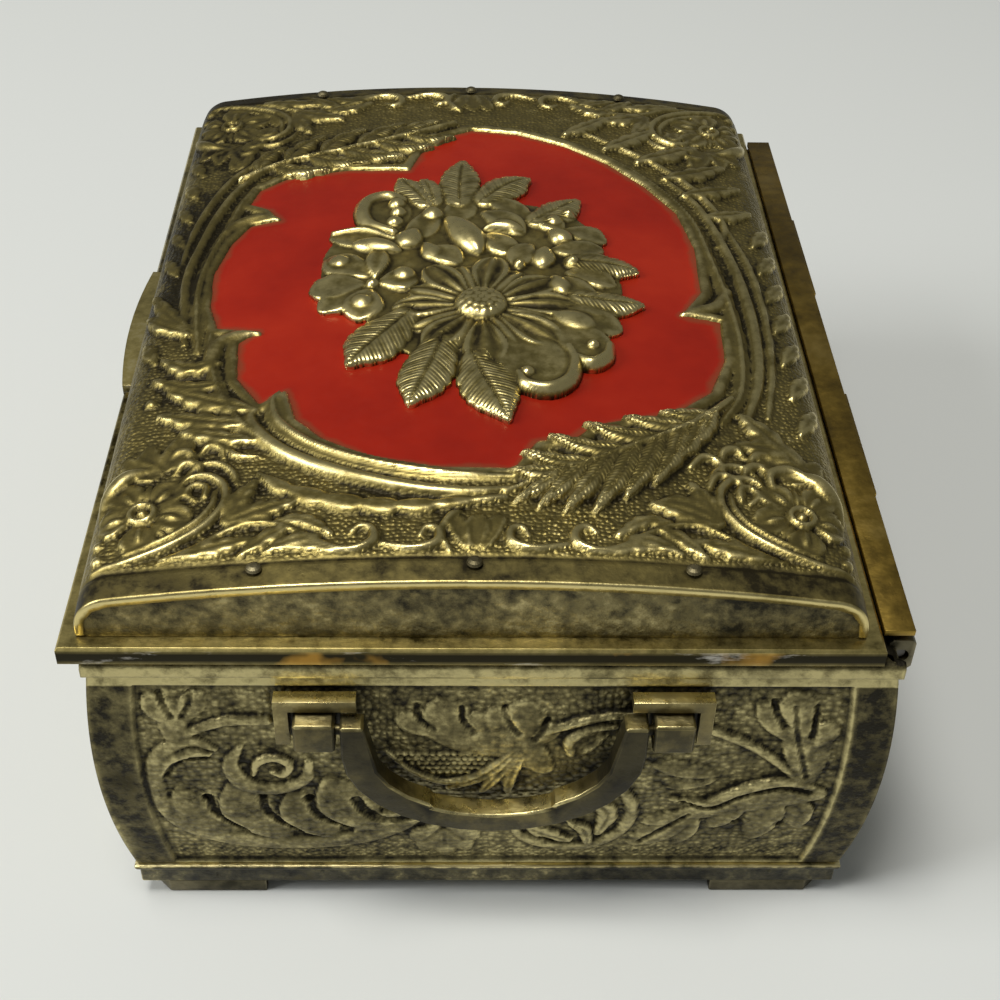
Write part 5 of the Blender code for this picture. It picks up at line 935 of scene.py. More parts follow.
def leaf_right(d):
    """The tall leaf and the wide hanging leaf, drawn for the right of the photographed end."""
    for x0, z0, x1, z1, w in (
            (39.2, -23.8, 37.0, -10.8, 5.6), (36.4, -15.6, 32.0, -8.4, 3.6),
            (38.8, -16.6, 40.4, -11.6, 3.2), (37.2, -14.0, 35.8, -7.0, 4.6)):
        d.lobe(x0, z0, x1, z1, w, 0.7, "fold", full=1.5)
    d.crease(0.3, 0.35, (36.0, -9.4), (36.6, -14.0), (38.4, -21.0))
    d.crease(0.42, 0.42, (33.6, -8.8), (34.0, -10.4), (35.0, -12.4))
    d.crease(0.38, 0.4, (38.4, -9.6), (38.5, -11.4), (38.2, -14.0))
    d.stroke(
        (40.4, -24.4, 1.2, 0.5), (36.0, -24.8, 2.2, 0.55), (31.0, -26.4, 2.0, 0.5),
        (26.4, -28.2, 1.4, 0.45), (22.4, -29.2, 0.4, 0.3), power=0.3)
    for x0, z0, x1, z1, w in (
            (31.6, -26.0, 28.6, -31.4, 3.6), (38.6, -25.6, 39.4, -31.6, 3.6),
            (35.6, -25.4, 34.2, -34.2, 4.6)):
        d.lobe(x0, z0, x1, z1, w, 0.78, "fold", full=0.8)
    for x, z in ((31.8, -30.0), (37.0, -30.4)):
        d.pit(x, z, 0.8, 0.4)
    d.stroke(
        (23.4, -25.4, 0.3, 0.45), (27.6, -26.0, 0.8, 0.75), (31.0, -23.6, 0.9, 0.85),
        (35.6, -21.9, 0.9, 0.8), (39.6, -23.0, 0.5, 0.5), power=0.35)
    d.crease(0.5, 0.45, (24.6, -25.9), (28.4, -27.0), (31.4, -24.7), (35.8, -23.1), (39.4, -24.0))
    for x0, z0, x1, z1, w, height in (
            (28.6, -21.0, 20.4, -18.8, 3.0, 0.45), (28.6, -21.4, 22.6, -23.2, 2.2, 0.4),
            (25.6, -28.2, 20.4, -30.4, 2.6, 0.64), (26.6, -28.6, 19.4, -35.4, 4.4, 0.7),
            (27.0, -28.8, 25.2, -35.2, 2.8, 0.7)):
        d.lobe(x0, z0, x1, z1, w, height, "fold", full=1.1)
    d.crease(0.35, 0.4, (25.8, -28.6), (22.8, -32.0), (20.8, -34.4))


def flat_leaf(d, x, z):
    """The small flat leaf of five lobes under the middle of a panel."""
    for dx, dz, w in (
            (-3.9, -4.4, 3.4), (-2.8, -6.8, 3.2), (0.2, -8.2, 3.2), (3.0, -6.8, 3.2), (4.2, -4.0, 3.4)):
        d.lobe(x + 0.1 * dx, z + 0.1 * dz, x + dx, z + dz, w, 0.5, "flat", full=1.3)
    for dx, dz in ((-2.4, -4.0), (0.1, -5.2), (2.4, -3.8)):
        d.crease(0.12, 0.3, (x, z - 1.0), (x + dx, z + dz))


def end_panel_ornament(r):
    """A short wall, as photographed."""
    d = Placed(r)
    volute_left(d)
    leaf_trio(d, -32.8, -13.0)
    ring_volutes(d)
    fan(d)
    leaf_right(d)
    flat_leaf(d, -3.3, -30.2)


def side_panel_ornament(r):
    """A long wall: the same leaves on both sides of a fan."""
    for mx in (-1, 1):
        volute_left(Placed(r, -11.4, mx))
        leaf_trio(Placed(r, -12.0, mx), -32.8, -13.0)
        leaf_trio(Placed(r, 16.6, mx), -31.0, -14.6)
        d = Placed(r, 0.0, mx)
        flat_leaf(d, -14.6, -30.2)
        d.stroke(
            (-8.0, -24.0, 0.4, 0.5), (-12.0, -22.6, 0.7, 0.8), (-14.0, -25.4, 0.75, 0.8),
            (-11.6, -28.2, 0.7, 0.75), (-8.6, -27.0, 0.5, 0.5))
    fan(Placed(r, -1.4))
    flat_leaf(Placed(r), 0.0, -29.4)


def wall_levels(rows):
    """The heights of a wall's rows: even up to the lip, and closer round its edges."""
    lip_low = WALL_TOP - LIP_HEIGHT
    over = [lip_low + 0.05, lip_low + 0.2] + [WALL_TOP - below for below in (1.7, 1.2, 0.7, 0.35, 0.12, 0)]
    return np.concatenate([np.linspace(WALL_LOW, lip_low - 0.15, rows), over])


def wall_face(r, X, half_along, cell):
    """The height, and the wear with painted shade, of a wall's face, and how far each place is carved and
    bare of ornament.
    """
    Z = r.Y
    top, bottom = WALL_TOP - TOP_BAND - FLANGE_TOP, WALL_LOW - FLANGE_TOP
    border = half_along - CORNER_BAND - np.abs(X)
    inside = np.minimum(border, np.minimum(top - Z, Z - bottom - 0.2))
    carve = np.clip((inside - 0.2) / 0.8, 0, 1)
    bare = 1 - np.clip((r.h - 0.05) / 0.2, 0, 1)
    # rows of small dots along the panel's foot
    dots = np.maximum(np.cos(2 * np.pi * X / 1.05) * np.cos(2 * np.pi * Z / 0.95), 0) * bare
    dots = dots * np.clip(1 - np.abs(Z - bottom - 2.6) / 1.9, 0, 1)
    h = np.clip(inside / 0.35, 0, 1) * -PANEL_DEPTH + carve * (0.90 * r.h + 0.20 * dots)
    # the band over the panel isn't quite even
    top_band = np.clip(1 - np.abs(Z - top - 1.0) / 1.2, 0, 1)
    h = h + 0.02 * top_band * np.sin(X * 2.1 + 3 * np.sin(Z * 2)) * np.sin(Z * 3.3)
    # patina and painted shade darken the creases and wear lightens the heights; dark corner bands, a bright
    # spot at the left foot and a bright line beside the right band
    near, far = h - blur(h, 0.42 / cell), h - blur(h, 1.8 / cell)
    wear_and_shade = 0.47 + 2.2 * near + 0.10 * far + 0.30 * (Z > top)
    spot = np.exp(-((X + half_along) / 1.6) ** 2 - ((Z + 33) / 4) ** 2)
    wear_and_shade = wear_and_shade - 0.32 * (border < 0) * (Z < top) + 0.35 * spot
    wear_and_shade = wear_and_shade + 0.45 * np.exp(-(border / 0.3) ** 2) * (X > 0) * (Z < top)
    return h, wear_and_shade, carve, bare


def build_wall(name, half_along, half_out, heading, ornament, shift=0.0, lip=LIP_REACH, step=0.3, rows=113):
    """One wall: a fine outer face with its sunk ornamented panel, and plain other sides."""
    count = int(round(2 * half_along / step / BACK_STEP)) * BACK_STEP + 1
    share, levels = np.linspace(-1, 1, count), wall_levels(rows)
    along = share * half_along
    r = Relief(along + shift, levels - FLANGE_TOP)
    ornament(r)
    X, Z = r.X - shift, r.Y + FLANGE_TOP
    h, wear_and_shade, carve, bare = wall_face(r, X, half_along, along[1] - along[0])
    # the lip at the top and its rounded edge
    lip_low = WALL_TOP - LIP_HEIGHT
    base = np.where(Z > lip_low, lip * np.clip((Z - lip_low) / 0.2, 0, 1), face_reach(Z))
    edge = np.clip((WALL_TOP - Z) / LIP_ROUND, 0, 1)
    rounded = LIP_ROUND * (1 - np.sqrt(np.clip(1 - (1 - edge) ** 2, 0, 1)))
    ends = np.clip((half_along - np.abs(X)) / 0.6, 0, 1)
    # the top of the lip, at the gap under the lid, is painted dark as the gap's shade; the mitred ends are
    # lighter
    wear_and_shade = np.clip(wear_and_shade + 0.30 * (1 - ends) - 0.9 * (1 - edge) ** 2, 0, 1)
    # mitred ends: each row is longer by what it stands out
    front_x = share[None, :] * (half_along + base - MITRE_GAP)
    front = np.stack([front_x, -(half_out + (base + h - rounded)), Z], axis=-1)
    low = levels[::BACK_STEP, None]
    inner = face_reach(np.minimum(low, lip_low)) - WALL_THICK
    back_x = share[None, ::BACK_STEP] * (half_along + inner - MITRE_GAP)
    back = np.stack([back_x, -(half_out + inner) + 0 * back_x, low + 0 * back_x], axis=-1)
    turn = math.radians(heading)
    spin = np.array([[math.cos(turn), -math.sin(turn), 0], [math.sin(turn), math.cos(turn), 0], [0, 0, 1]])
    offset = np.array([BODY_X, 0, 0])
    ground, hatch = carve * (0.45 + 0.55 * bare), 0.35 * r.hatch * carve
    values = {"wear_and_shade": wear_and_shade, "ground": ground, "rib": r.rib, "hatch": hatch}
    return closed_plate(name, front @ spin.T + offset, back @ spin.T + offset, values)


# The soft lining

def soft_board(name, body, corner, across, up, thick, roll=1.6):
    """Velvet over a board: crowned, its rim rolled over, its sides pulled in between the corners."""
    corner, across, up = (np.array(v, float) for v in (corner, across, up))
    width, height = np.linalg.norm(across), np.linalg.norm(up)
    columns, rows = (BACK_STEP * max(2, int(round(size / 10))) + 1 for size in (width, height))
    U, V = np.meshgrid(0.5 - 0.5 * np.cos(np.pi * np.linspace(0, 1, columns)),
                       0.5 - 0.5 * np.cos(np.pi * np.linspace(0, 1, rows)))
    edge = np.minimum(np.minimum(U, 1 - U) * width, np.minimum(V, 1 - V) * height)
    rolled = np.sqrt(1 - (1 - np.clip(edge / roll, 0, 1)) ** 2)
    crown = 0.72 + 0.28 * (16 * U * (1 - U) * V * (1 - V)) ** 0.4
    diagonal = np.minimum(np.hypot(U * width, V * height), np.hypot((1 - U) * width, (1 - V) * height))
    puckers = 0.07 * np.sin(diagonal * 1.3) * np.exp(-edge / 9.0)
    puckers = puckers + 0.05 * np.sin(U * width * 0.23 + 2 * np.sin(V * 5.0))
    rise = thick * np.clip(0.22 + 0.70 * rolled * crown + puckers * rolled, 0.0, 1.0)
    pulled_u = U + 0.45 / width * np.sin(np.pi * V) * (1 - 2 * U)
    pulled_v = V + 0.45 / height * np.sin(np.pi * U) * (1 - 2 * V)
    base = corner + across * pulled_u[..., None] + up * pulled_v[..., None]
    out = np.cross(across / width, up / height)
    plate = closed_plate(name + "_velvet", base + out * rise[..., None], base[::BACK_STEP, ::BACK_STEP], {})
    piece = dress(plate, "velvet", body, name)


def build_linings():
    """Four upright boards and the floor pad in the body, and the pad in the lid."""
    low, (x0, x1), y1 = LINING_LOW, LINING_SPAN, LINING_LONG_HALF
    tall, long, wide = (0, 0, LINING_HIGH - low), 2 * y1, x1 - x0 - 2 * LINING_THICK - 2 * LINING_GAP
    end_x0, end_x1 = x0 + LINING_THICK + LINING_GAP, x1 - LINING_THICK - LINING_GAP
    soft_board("front_lining", "box_body", (x0, -y1, low), (0, long, 0), tall, LINING_THICK)
    soft_board("back_lining", "box_body", (x1, y1, low), (0, -long, 0), tall, LINING_THICK)
    soft_board("right_end_lining", "box_body", (end_x1, -y1, low), (-wide, 0, 0), tall, LINING_THICK)
    soft_board("left_end_lining", "box_body", (end_x0, y1, low), (wide, 0, 0), tall, LINING_THICK)
    pad_y = y1 - LINING_THICK - LINING_GAP
    soft_board("floor_pad", "box_body", (end_x0, -pad_y, low), (wide, 0, 0), (0, 2 * pad_y, 0),
               FLOOR_PAD_THICK, 3.0)
    soft_board("lid_lining", "lid", (LID_PAD[0], LID_PAD_HALF, LID_PAD_TOP), (LID_PAD[1] - LID_PAD[0], 0, 0),
               (0, -2 * LID_PAD_HALF, 0), LID_PAD_THICK, 6.0)


# Materials

class Nodes:
    """A small helper that adds and links shader nodes."""

    def __init__(self, name):
        self.material = bpy.data.materials.new(name)
        self.material.use_nodes = True
        self.tree = self.material.node_tree
        self.shader = self.tree.nodes["Principled BSDF"]
        self.place = self.tree.nodes.new("ShaderNodeTexCoord").outputs["Object"]

    def node(self, kind, **settings):
        """A new node with some settings. The methods below return the socket that it gives out."""
        made = self.tree.nodes.new(kind)
        for key, value in settings.items():
            setattr(made, key, value)
        return made

    def link(self, source, target):
        """Gives a socket a number, or the value of another socket."""
        if isinstance(source, (int, float)):
            target.default_value = source
        else:
            self.tree.links.new(source, target)

    def math(self, operation, a, b=0.0, clamp=False):
        made = self.node("ShaderNodeMath", operation=operation, use_clamp=clamp)
        self.link(a, made.inputs[0])
        self.link(b, made.inputs[1])
        return made.outputs[0]

    def noise(self, scale, detail=3.0, rough=0.55, stretch=None):
        made = self.node("ShaderNodeTexNoise")
        made.inputs["Scale"].default_value = scale
        made.inputs["Detail"].default_value = detail
        made.inputs["Roughness"].default_value = rough
        place = self.place
        if stretch:
            mapping = self.node("ShaderNodeMapping")
            mapping.inputs["Scale"].default_value = stretch
            self.link(place, mapping.inputs["Vector"])
            place = mapping.outputs[0]
        self.link(place, made.inputs["Vector"])
        return made.outputs[0]

    def attribute(self, name):
        return self.node("ShaderNodeAttribute", attribute_name=name).outputs["Fac"]

    def ramp(self, value, stops):
        made = self.node("ShaderNodeValToRGB")
        elements = made.color_ramp.elements
        while len(elements) < len(stops):
            elements.new(0.5)
        for element, (position, colour) in zip(elements, stops):
            element.position = position
            element.color = (*colour, 1.0)
        self.link(value, made.inputs[0])
        return made.outputs[0]

    def span(self, value, low, high, out_low=0.0, out_high=1.0):
        """The value moved from one range to another, and kept inside it."""
        made = self.node("ShaderNodeMapRange")
        for key, number in zip(("From Min", "From Max", "To Min", "To Max"), (low, high, out_low, out_high)):
            made.inputs[key].default_value = number
        self.link(value, made.inputs["Value"])
        return made.outputs[0]

    def mix(self, share, a, b):
        made = self.node("ShaderNodeMix", data_type="RGBA")
        self.link(share, made.inputs["Factor"])
        for source, socket in ((a, made.inputs["A"]), (b, made.inputs["B"])):
            if isinstance(source, tuple):
                socket.default_value = (*source, 1.0)
            else:
                self.link(source, socket)
        return made.outputs["Result"]

    def bump(self, height, strength, distance):
        made = self.node("ShaderNodeBump")
        made.inputs["Strength"].default_value = strength
        made.inputs["Distance"].default_value = distance
        self.link(height, made.inputs["Height"])
        self.link(made.outputs[0], self.shader.inputs["Normal"])

    def side_facing(self):
        """0 on level faces, 1 on upright ones."""
        normal = self.node("ShaderNodeNewGeometry").outputs["Normal"]
        parts = self.node("ShaderNodeSeparateXYZ")
        self.link(normal, parts.inputs[0])
        return self.math("SUBTRACT", 1.0, self.math("ABSOLUTE", parts.outputs["Z"]), True)


def brass(name, colours, rough, grime, spots, stipple=0.0, matting=1700.0, contrast=0.3, pits=0.5,
          mottle=0.10, ribs=0.0, wear_and_shade=True):
    """Aged brass: colours run from the hollows over the body to the rubbed heights, with dark spots.

    rough is the roughness in the hollows and on the heights, grime and mottle are the broad and fine change
    of tone, stipple, matting and contrast the height, scale and tone of the matted ground, pits the grain and
    ribs the height of a leaf's veins. Without wear the tone comes from noise alone.
    """
    n = Nodes(name)
    broad, fine = n.noise(60.0, 4.0, 0.6), n.noise(520.0, 4.0, 0.65)
    level = n.attribute("wear_and_shade") if wear_and_shade else n.span(n.noise(140.0, 3.0), 0.3, 0.7, 0.40, 0.58)
    level = n.math("ADD", level, n.span(broad, 0.3, 0.7, -grime * 0.5, grime * 0.5))
    level = n.math("ADD", level, n.span(fine, 0.3, 0.7, -mottle, mottle))
    if stipple:
        dots = n.node("ShaderNodeTexVoronoi", feature="SMOOTH_F1")
        dots.inputs["Scale"].default_value = matting
        dots.inputs["Randomness"].default_value = 0.7
        dots.inputs["Smoothness"].default_value = 0.25
        n.link(n.place, dots.inputs["Vector"])
        dome = n.math("MULTIPLY", n.math("SUBTRACT", 0.5, dots.outputs["Distance"]), n.attribute("ground"))
        level = n.math("ADD", level, n.math("MULTIPLY", dome, contrast))
    level = n.math("MAXIMUM", level, 0.0, True)
    colour = n.ramp(level, list(zip((0.06, 0.34, 0.58, 0.90), colours)))
    blotch = n.span(n.noise(130.0, 7.0, 0.72), 0.56, 0.66, 0.0, spots)
    freckle = n.span(n.noise(620.0, 4.0, 0.7), 0.60, 0.70, 0.0, spots * 0.8)
    spot = n.math("MULTIPLY", n.math("MAXIMUM", blotch, freckle), n.span(level, 0.35, 0.9, 1.0, 0.25))
    colour = n.mix(spot, colour, colours[0])
    n.link(colour, n.shader.inputs["Base Color"])
    n.link(n.span(level, 0.05, 0.5, 0.75, 1.0), n.shader.inputs["Metallic"])
    roughness = n.span(level, 0.15, 0.9, rough[0], rough[1])
    roughness = n.math("ADD", roughness, n.math("MULTIPLY", spot, 0.25))
    n.link(n.math("ADD", roughness, n.span(fine, 0.3, 0.7, -0.08, 0.08), True), n.shader.inputs["Roughness"])
    grain = n.math("ADD", n.noise(1000.0, 4.0, 0.65), n.math("MULTIPLY", n.noise(300.0, 3.0), 0.8))
    grain = n.math("SUBTRACT", n.math("MULTIPLY", grain, pits), n.math("MULTIPLY", spot, 0.5))
    if stipple:
        grain = n.math("ADD", grain, n.math("MULTIPLY", dome, stipple))
    if ribs:
        wave = n.math("SINE", n.math("MULTIPLY", n.attribute("rib"), 2 * math.pi / RIB_SPACING))
        grain = n.math("ADD", grain, n.math("MULTIPLY", n.math("MULTIPLY", wave, n.attribute("hatch")), ribs))
    n.bump(grain, 1.0, 0.00008)
    return n.material


# Each brass has its colours in the hollows, beside them, on the body and on the rubbed heights
LOOKS = {
    "relief": brass("relief_brass",
        ((0.030, 0.023, 0.008), (0.205, 0.163, 0.055), (0.335, 0.265, 0.088), (0.72, 0.60, 0.27)),
        rough=(0.52, 0.32), grime=0.34, spots=0.45, stipple=2.8, mottle=0.16, ribs=0.22),
    "bouquet": brass("bouquet_brass",
        ((0.035, 0.026, 0.008), (0.19, 0.15, 0.05), (0.40, 0.32, 0.11), (0.80, 0.67, 0.31)),
        rough=(0.50, 0.30), grime=0.34, spots=0.45, mottle=0.16, ribs=0.34),
    "wall": brass("grey_brass",
        ((0.016, 0.013, 0.006), (0.130, 0.110, 0.051), (0.245, 0.209, 0.098), (0.54, 0.465, 0.225)),
        rough=(0.60, 0.36), grime=0.34, spots=0.6, stipple=5.0, matting=1250.0, contrast=0.7, pits=2.4,
        mottle=0.30),
    "gable": brass("gable_brass",
        ((0.022, 0.019, 0.010), (0.130, 0.110, 0.054), (0.255, 0.214, 0.100), (0.54, 0.46, 0.23)),
        rough=(0.55, 0.36), grime=0.42, spots=0.55, pits=3.4, mottle=0.34),
    "strip": brass("strip_brass",
        ((0.045, 0.030, 0.008), (0.19, 0.125, 0.025), (0.40, 0.265, 0.055), (0.60, 0.42, 0.12)),
        rough=(0.50, 0.34), grime=0.70, spots=0.45, wear_and_shade=False),
    "handle": brass("handle_brass",
        ((0.014, 0.012, 0.007), (0.070, 0.060, 0.032), (0.22, 0.18, 0.080), (0.85, 0.72, 0.34)),
        rough=(0.48, 0.28), grime=0.40, spots=0.5, pits=0.9),
    # near-black brass for the hinge rail and the feet; on the feet the dark is painted shade
    "plain": brass("near_black_brass_and_shade",
        ((0.008, 0.008, 0.005), (0.020, 0.019, 0.013), (0.045, 0.041, 0.026), (0.24, 0.21, 0.13)),
        rough=(0.55, 0.40), grime=0.40, spots=0.6),
    "plinth": brass("plinth_brass",
        ((0.012, 0.011, 0.006), (0.078, 0.070, 0.042), (0.20, 0.175, 0.092), (0.90, 0.76, 0.38)),
        rough=(0.50, 0.32), grime=0.55, spots=0.7, pits=1.6, mottle=0.3),
    "rivet": brass("rivet_brass",
        ((0.03, 0.025, 0.012), (0.11, 0.092, 0.048), (0.22, 0.188, 0.105), (0.42, 0.365, 0.22)),
        rough=(0.60, 0.42), grime=0.40, spots=0.5, wear_and_shade=False),
    "sheet": brass("sheet_brass",
        ((0.014, 0.012, 0.007), (0.10, 0.085, 0.042), (0.22, 0.18, 0.085), (0.40, 0.34, 0.18)),
        rough=(0.55, 0.40), grime=0.50, spots=0.6, wear_and_shade=False),
}


def enamel_look():
    """Red enamel: cloudy, with dark specks, thin and brownish towards its outline."""
    n = Nodes("red_enamel")
    cloud = n.noise(48.0, 4.0, 0.6)
    speck = n.noise(900.0, 2.0, 0.6)
    reds = [(0.28, (0.25, 0.009, 0.003)), (0.5, (0.33, 0.014, 0.004)), (0.72, (0.40, 0.022, 0.006))]
    colour = n.ramp(cloud, reds)
    dark = n.span(n.noise(330.0, 4.0, 0.7), 0.70, 0.78)
    colour = n.mix(n.math("MULTIPLY", dark, 0.55), colour, (0.10, 0.008, 0.006))
    edge = n.math("ADD", n.attribute("edge"), n.span(n.noise(260.0, 3.0), 0.3, 0.7, -0.35, 0.35))
    colour = n.mix(n.span(edge, 0.25, 0.95, 0.7, 0.0), colour, (0.20, 0.052, 0.020))
    n.link(colour, n.shader.inputs["Base Color"])
    n.link(n.span(speck, 0.3, 0.7, 0.34, 0.46), n.shader.inputs["Roughness"])
    n.shader.inputs["Specular IOR Level"].default_value = 0.22
    n.bump(n.math("ADD", n.noise(150.0, 4.0, 0.6), n.math("MULTIPLY", speck, 0.4)), 0.35, 0.00006)
    return n.material


def velvet_look():
    """Red velvet: a fine pile with crushed patches, and a sheen."""
    n = Nodes("red_velvet")
    pile = n.noise(1400.0, 3.0, 0.7)
    crush = n.noise(70.0, 3.0, 0.5, (1.0, 1.6, 1.0))
    colour = n.mix(n.span(crush, 0.3, 0.7), (0.085, 0.004, 0.007), (0.19, 0.012, 0.018))
    colour = n.mix(n.span(pile, 0.35, 0.7), colour, (0.26, 0.022, 0.03))
    n.link(colour, n.shader.inputs["Base Color"])
    n.shader.inputs["Roughness"].default_value = 0.95
    n.shader.inputs["Sheen Weight"].default_value = 0.6
    n.shader.inputs["Sheen Roughness"].default_value = 0.4
    n.shader.inputs["Sheen Tint"].default_value = (0.9, 0.35, 0.38, 1.0)
    n.bump(n.math("ADD", pile, n.math("MULTIPLY", crush, 1.5)), 0.7, 0.00012)
    return n.material


def steel_look():
    """Dark drawn steel, scratched along its length."""
    n = Nodes("steel")
    scratch = n.noise(300.0, 3.0, 0.6, (1.0, 0.1, 1.0))
    colour = n.mix(n.span(scratch, 0.3, 0.7), (0.06, 0.057, 0.052), (0.15, 0.142, 0.13))
    n.link(colour, n.shader.inputs["Base Color"])
    n.shader.inputs["Metallic"].default_value = 1.0
    n.link(n.span(scratch, 0.3, 0.7, 0.3, 0.5), n.shader.inputs["Roughness"])
    return n.material


def flange_look():
    """The flange: a gold top, and an upright edge painted dark as shade, with worn silvery and orange
    patches.
    """
    n = Nodes("flange_edge")
    # upright faces get the dark edge colour: painted shade by facing
    side = n.span(n.side_facing(), 0.72, 0.94)
    along = n.noise(150.0, 6.0, 0.7, (0.35, 0.35, 1.6))
    patch = n.span(along, 0.53, 0.60)
    worn = n.mix(n.noise(700.0, 4.0, 0.6), (0.30, 0.27, 0.22), (0.66, 0.63, 0.58))
    edge = n.mix(patch, (0.030, 0.026, 0.014), worn)
    orange = n.span(n.noise(75.0, 4.0, 0.6), 0.58, 0.66)
    edge = n.mix(orange, edge, (0.42, 0.24, 0.05))
    speckle = n.span(n.noise(560.0, 4.0, 0.7), 0.3, 0.7, -0.22, 0.22)
    clouds = n.span(n.noise(90.0, 5.0, 0.65), 0.3, 0.7, -0.22, 0.22)
    top = n.ramp(n.math("ADD", n.math("ADD", n.attribute("wear_and_shade"), clouds), speckle),
                 [(0.10, (0.060, 0.046, 0.014)), (0.45, (0.46, 0.37, 0.135)), (0.75, (0.74, 0.60, 0.23)),
                  (0.95, (0.90, 0.76, 0.38))])
    n.link(n.mix(side, top, edge), n.shader.inputs["Base Color"])
    n.link(n.math("SUBTRACT", 1.0, n.math("MULTIPLY", n.math("MULTIPLY", side, patch), 0.6)),
           n.shader.inputs["Metallic"])
    n.link(n.span(side, 0.0, 1.0, 0.34, 0.60), n.shader.inputs["Roughness"])
    n.bump(n.math("ADD", n.noise(800.0, 4.0, 0.65), n.math("MULTIPLY", patch, n.math("MULTIPLY", side, 0.8))),
           0.6, 0.00006)
    return n.material


LOOKS["flange"] = flange_look()
LOOKS["enamel"] = enamel_look()
LOOKS["velvet"] = velvet_look()
LOOKS["steel"] = steel_look()


def dress(obj, look, body, *nodes):
    """Gives a piece its material, body and slot, and the frame nodes that it stands for."""
    obj.data.materials.clear()
    obj.data.materials.append(LOOKS[look])
    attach(obj, body)
    if nodes:
        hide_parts(*nodes)
    return obj


def softened(name, body, look, width, segments=2, top=0.0):
    """A frame node's shape with rounded edges, more worn towards them, and by top painted lighter where it
    looks up and darker on upright faces, as light and shade.
    """
    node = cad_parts[name]
    builder = bmesh.new()
    builder.from_mesh(node.data)
    builder.transform(node.matrix_world)
    bmesh.ops.remove_doubles(builder, verts=builder.verts, dist=0.005 * MM)
    bmesh.ops.dissolve_limit(builder, angle_limit=math.radians(1.0), verts=builder.verts, edges=builder.edges)
    mesh = bpy.data.meshes.new(name + "_rounded")
    builder.to_mesh(mesh)
    builder.free()
    obj = linked(name + "_rounded", mesh)
    rounding = obj.modifiers.new("rounded", "BEVEL")
    rounding.width = width * MM
    rounding.segments = segments
    rounding.limit_method = "ANGLE"
    rounding.angle_limit = math.radians(28)
    rounding.use_clamp_overlap = True
    evaluated = obj.evaluated_get(bpy.context.evaluated_depsgraph_get())
    solid = bpy.data.meshes.new_from_object(evaluated)
    obj.modifiers.clear()
    obj.data = solid
    edge_wear_and_painted_light(solid, top)
    solid.shade_smooth()
    solid.set_sharp_from_angle(angle=math.radians(40))
    return dress(obj, look, body, name)


def edge_wear_and_painted_light(mesh, top):
    """A value of wear and painted light for each vertex: high on rounded outer edges, low in inner corners,
    and by top painted lighter where a face looks up and darker where it stands upright.
    """
    builder = bmesh.new()
    builder.from_mesh(mesh)
    builder.verts.ensure_lookup_table()
    worn = np.full(len(builder.verts), 0.45)
    for vert in builder.verts:
        # painted light and shade: lighter on faces that look up, darker on upright ones
        worn[vert.index] += top * (max(vert.normal.z, 0.0) - 0.35)
        bends = [edge.calc_face_angle_signed(0.0) for edge in vert.link_edges if len(edge.link_faces) == 2]
        worn[vert.index] += 0.45 * np.clip(max(bends, key=abs, default=0.0) / 0.7, -1, 1)
    builder.free()
    attribute = mesh.attributes.new("wear_and_shade", "FLOAT", "POINT")
    attribute.data.foreach_set("value", np.clip(worn, 0, 1).astype(np.float32))


# Build

dress(build_lid_top(), "relief", "lid", "lid_top")
dress(build_gable("gable_near", -1), "gable", "lid")
dress(build_gable("gable_far", 1), "gable", "lid")
dress(build_enamel(), "enamel", "lid", "enamel_field")
dress(build_bouquet(), "bouquet", "lid", "bouquet_relief")
right_end = build_wall("right_end_cast", BODY_HALF, BODY_LONG_HALF, 0, end_panel_ornament, END_SHIFT,
                       step=0.24, rows=145)
left_end = build_wall("left_end_cast", BODY_HALF, BODY_LONG_HALF, 180, end_panel_ornament, END_SHIFT)
front = build_wall("front_cast", BODY_LONG_HALF, BODY_HALF, -90, side_panel_ornament)
back = build_wall("back_cast", BODY_LONG_HALF, BODY_HALF, 90, side_panel_ornament, lip=0.0)
dress(right_end, "wall", "box_body", "right_end_wall")
dress(left_end, "wall", "box_body", "left_end_wall")
dress(front, "wall", "box_body", "front_wall")
dress(back, "wall", "box_body", "back_wall")

build_linings()

softened("lid_frame", "lid", "flange", 0.55, 3)
softened("hinge_leaf", "lid", "strip", 0.18)
# the hinge rail and the feet get the near-black plain look, on the feet as painted shade
softened("hinge_rail", "box_body", "plain", 0.25)
# by top the plinth is painted lighter on its top and darker on its upright face, as light and shade
softened("plinth_moulding", "box_body", "plinth", 0.22, top=1.1)
for place in ("front_right", "front_left", "back_right", "back_left"):
    softened("foot_" + place, "box_body", "plain", 0.25)
# by top the bails and posts are painted lighter on top and darker on their sides, as light and shade
for side in ("right", "left"):
    softened(side + "_handle_bail", side + "_handle", "handle", 0.3, top=0.9)
    softened(side + "_handle_front_post", "box_body", "handle", 0.22, top=0.5)
    softened(side + "_handle_back_post", "box_body", "handle", 0.22, top=0.5)

CAD_LOOKS = {
    "rivet": ["lid_rivet_%d" % k for k in range(1, 7)],
    "sheet": ["base_plate"],
    "steel": ["hinge_pin"],
}
for look, names in CAD_LOOKS.items():
    for name in names:
        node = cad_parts[name]
        for index in range(len(node.material_slots)):
            node.material_slots[index].material = LOOKS[look]


# Studio

# The middle of the box, in metres, that the lamps point at
LOOKED_AT = Vector((0, 0, 0.03))


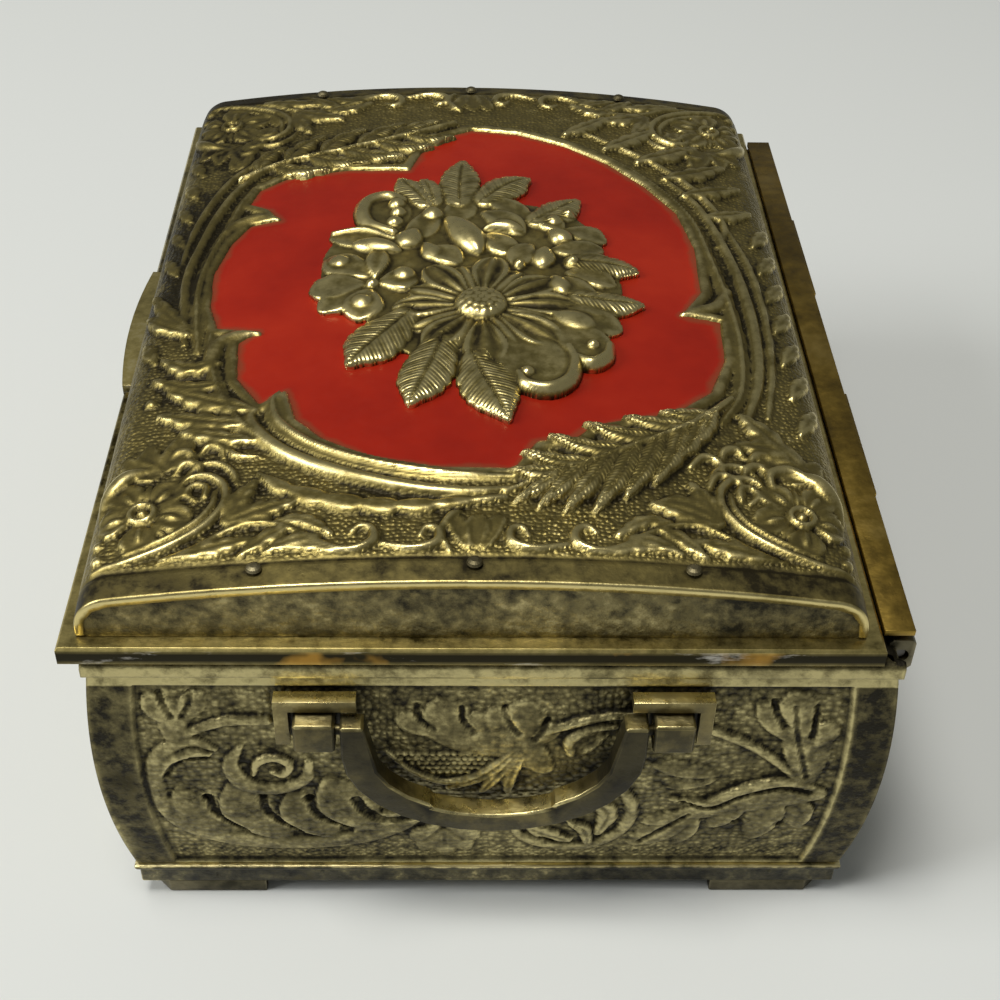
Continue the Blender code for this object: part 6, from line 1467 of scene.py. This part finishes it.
def studio():
    """Pale paper under the box, a grey-white surround and two lamps."""
    mesh = bpy.data.meshes.new("floor")
    builder = bmesh.new()
    bmesh.ops.create_grid(builder, x_segments=1, y_segments=1, size=3.0)
    builder.to_mesh(mesh)
    builder.free()
    floor = linked("floor", mesh)
    n = Nodes("floor_paper")
    n.shader.inputs["Base Color"].default_value = (0.80, 0.81, 0.785, 1.0)
    n.shader.inputs["Roughness"].default_value = 0.9
    n.shader.inputs["Specular IOR Level"].default_value = 0.1
    mesh.materials.append(n.material)

    world = bpy.data.worlds.new("studio")
    bpy.context.scene.world = world
    world.use_nodes = True
    background = world.node_tree.nodes["Background"]
    background.inputs["Color"].default_value = (0.97, 1.0, 0.96, 1.0)
    background.inputs["Strength"].default_value = 0.155

    def lamp(name, place, size, power, colour):
        light = bpy.data.lights.new(name, "AREA")
        light.shape = "RECTANGLE"
        light.size, light.size_y = size
        light.energy = power
        light.color = colour
        obj = linked(name, light)
        obj.location = place
        obj.rotation_euler = (LOOKED_AT - Vector(place)).to_track_quat("-Z", "Y").to_euler()

    lamp("overhead", (-0.16, -0.16, 0.90), (0.30, 0.24), 4.4, (1.0, 0.99, 0.95))
    lamp("left_window", (-1.32, -0.32, 0.97), (0.7, 0.7), 12.6, (0.98, 1.0, 1.0))
    bpy.context.scene.view_settings.view_transform = "Standard"


def camera():
    """The photo's camera, fitted to the corners of the flange, the strip, the plinth and the feet."""
    data = bpy.data.cameras.new("camera")
    data.lens = 57.6
    data.sensor_width = 36.0
    data.sensor_fit = "HORIZONTAL"
    data.clip_start = 0.01
    data.clip_end = 20.0
    pitch, yaw, roll = math.radians(40.4), math.radians(2.03), math.radians(1.63)
    forward = Vector((math.sin(yaw) * math.cos(pitch), math.cos(yaw) * math.cos(pitch), -math.sin(pitch)))
    level = Vector((math.cos(yaw), -math.sin(yaw), 0))
    upward = level.cross(forward)
    right = math.cos(roll) * level + math.sin(roll) * upward
    up = -math.sin(roll) * level + math.cos(roll) * upward
    obj = linked("camera", data)
    rotation = Matrix((right, up, -forward)).transposed()
    place = (-0.00348, -0.18036, 0.17027)
    obj.matrix_world = Matrix.Translation(place) @ rotation.to_4x4()
    bpy.context.scene.camera = obj


studio()
camera()
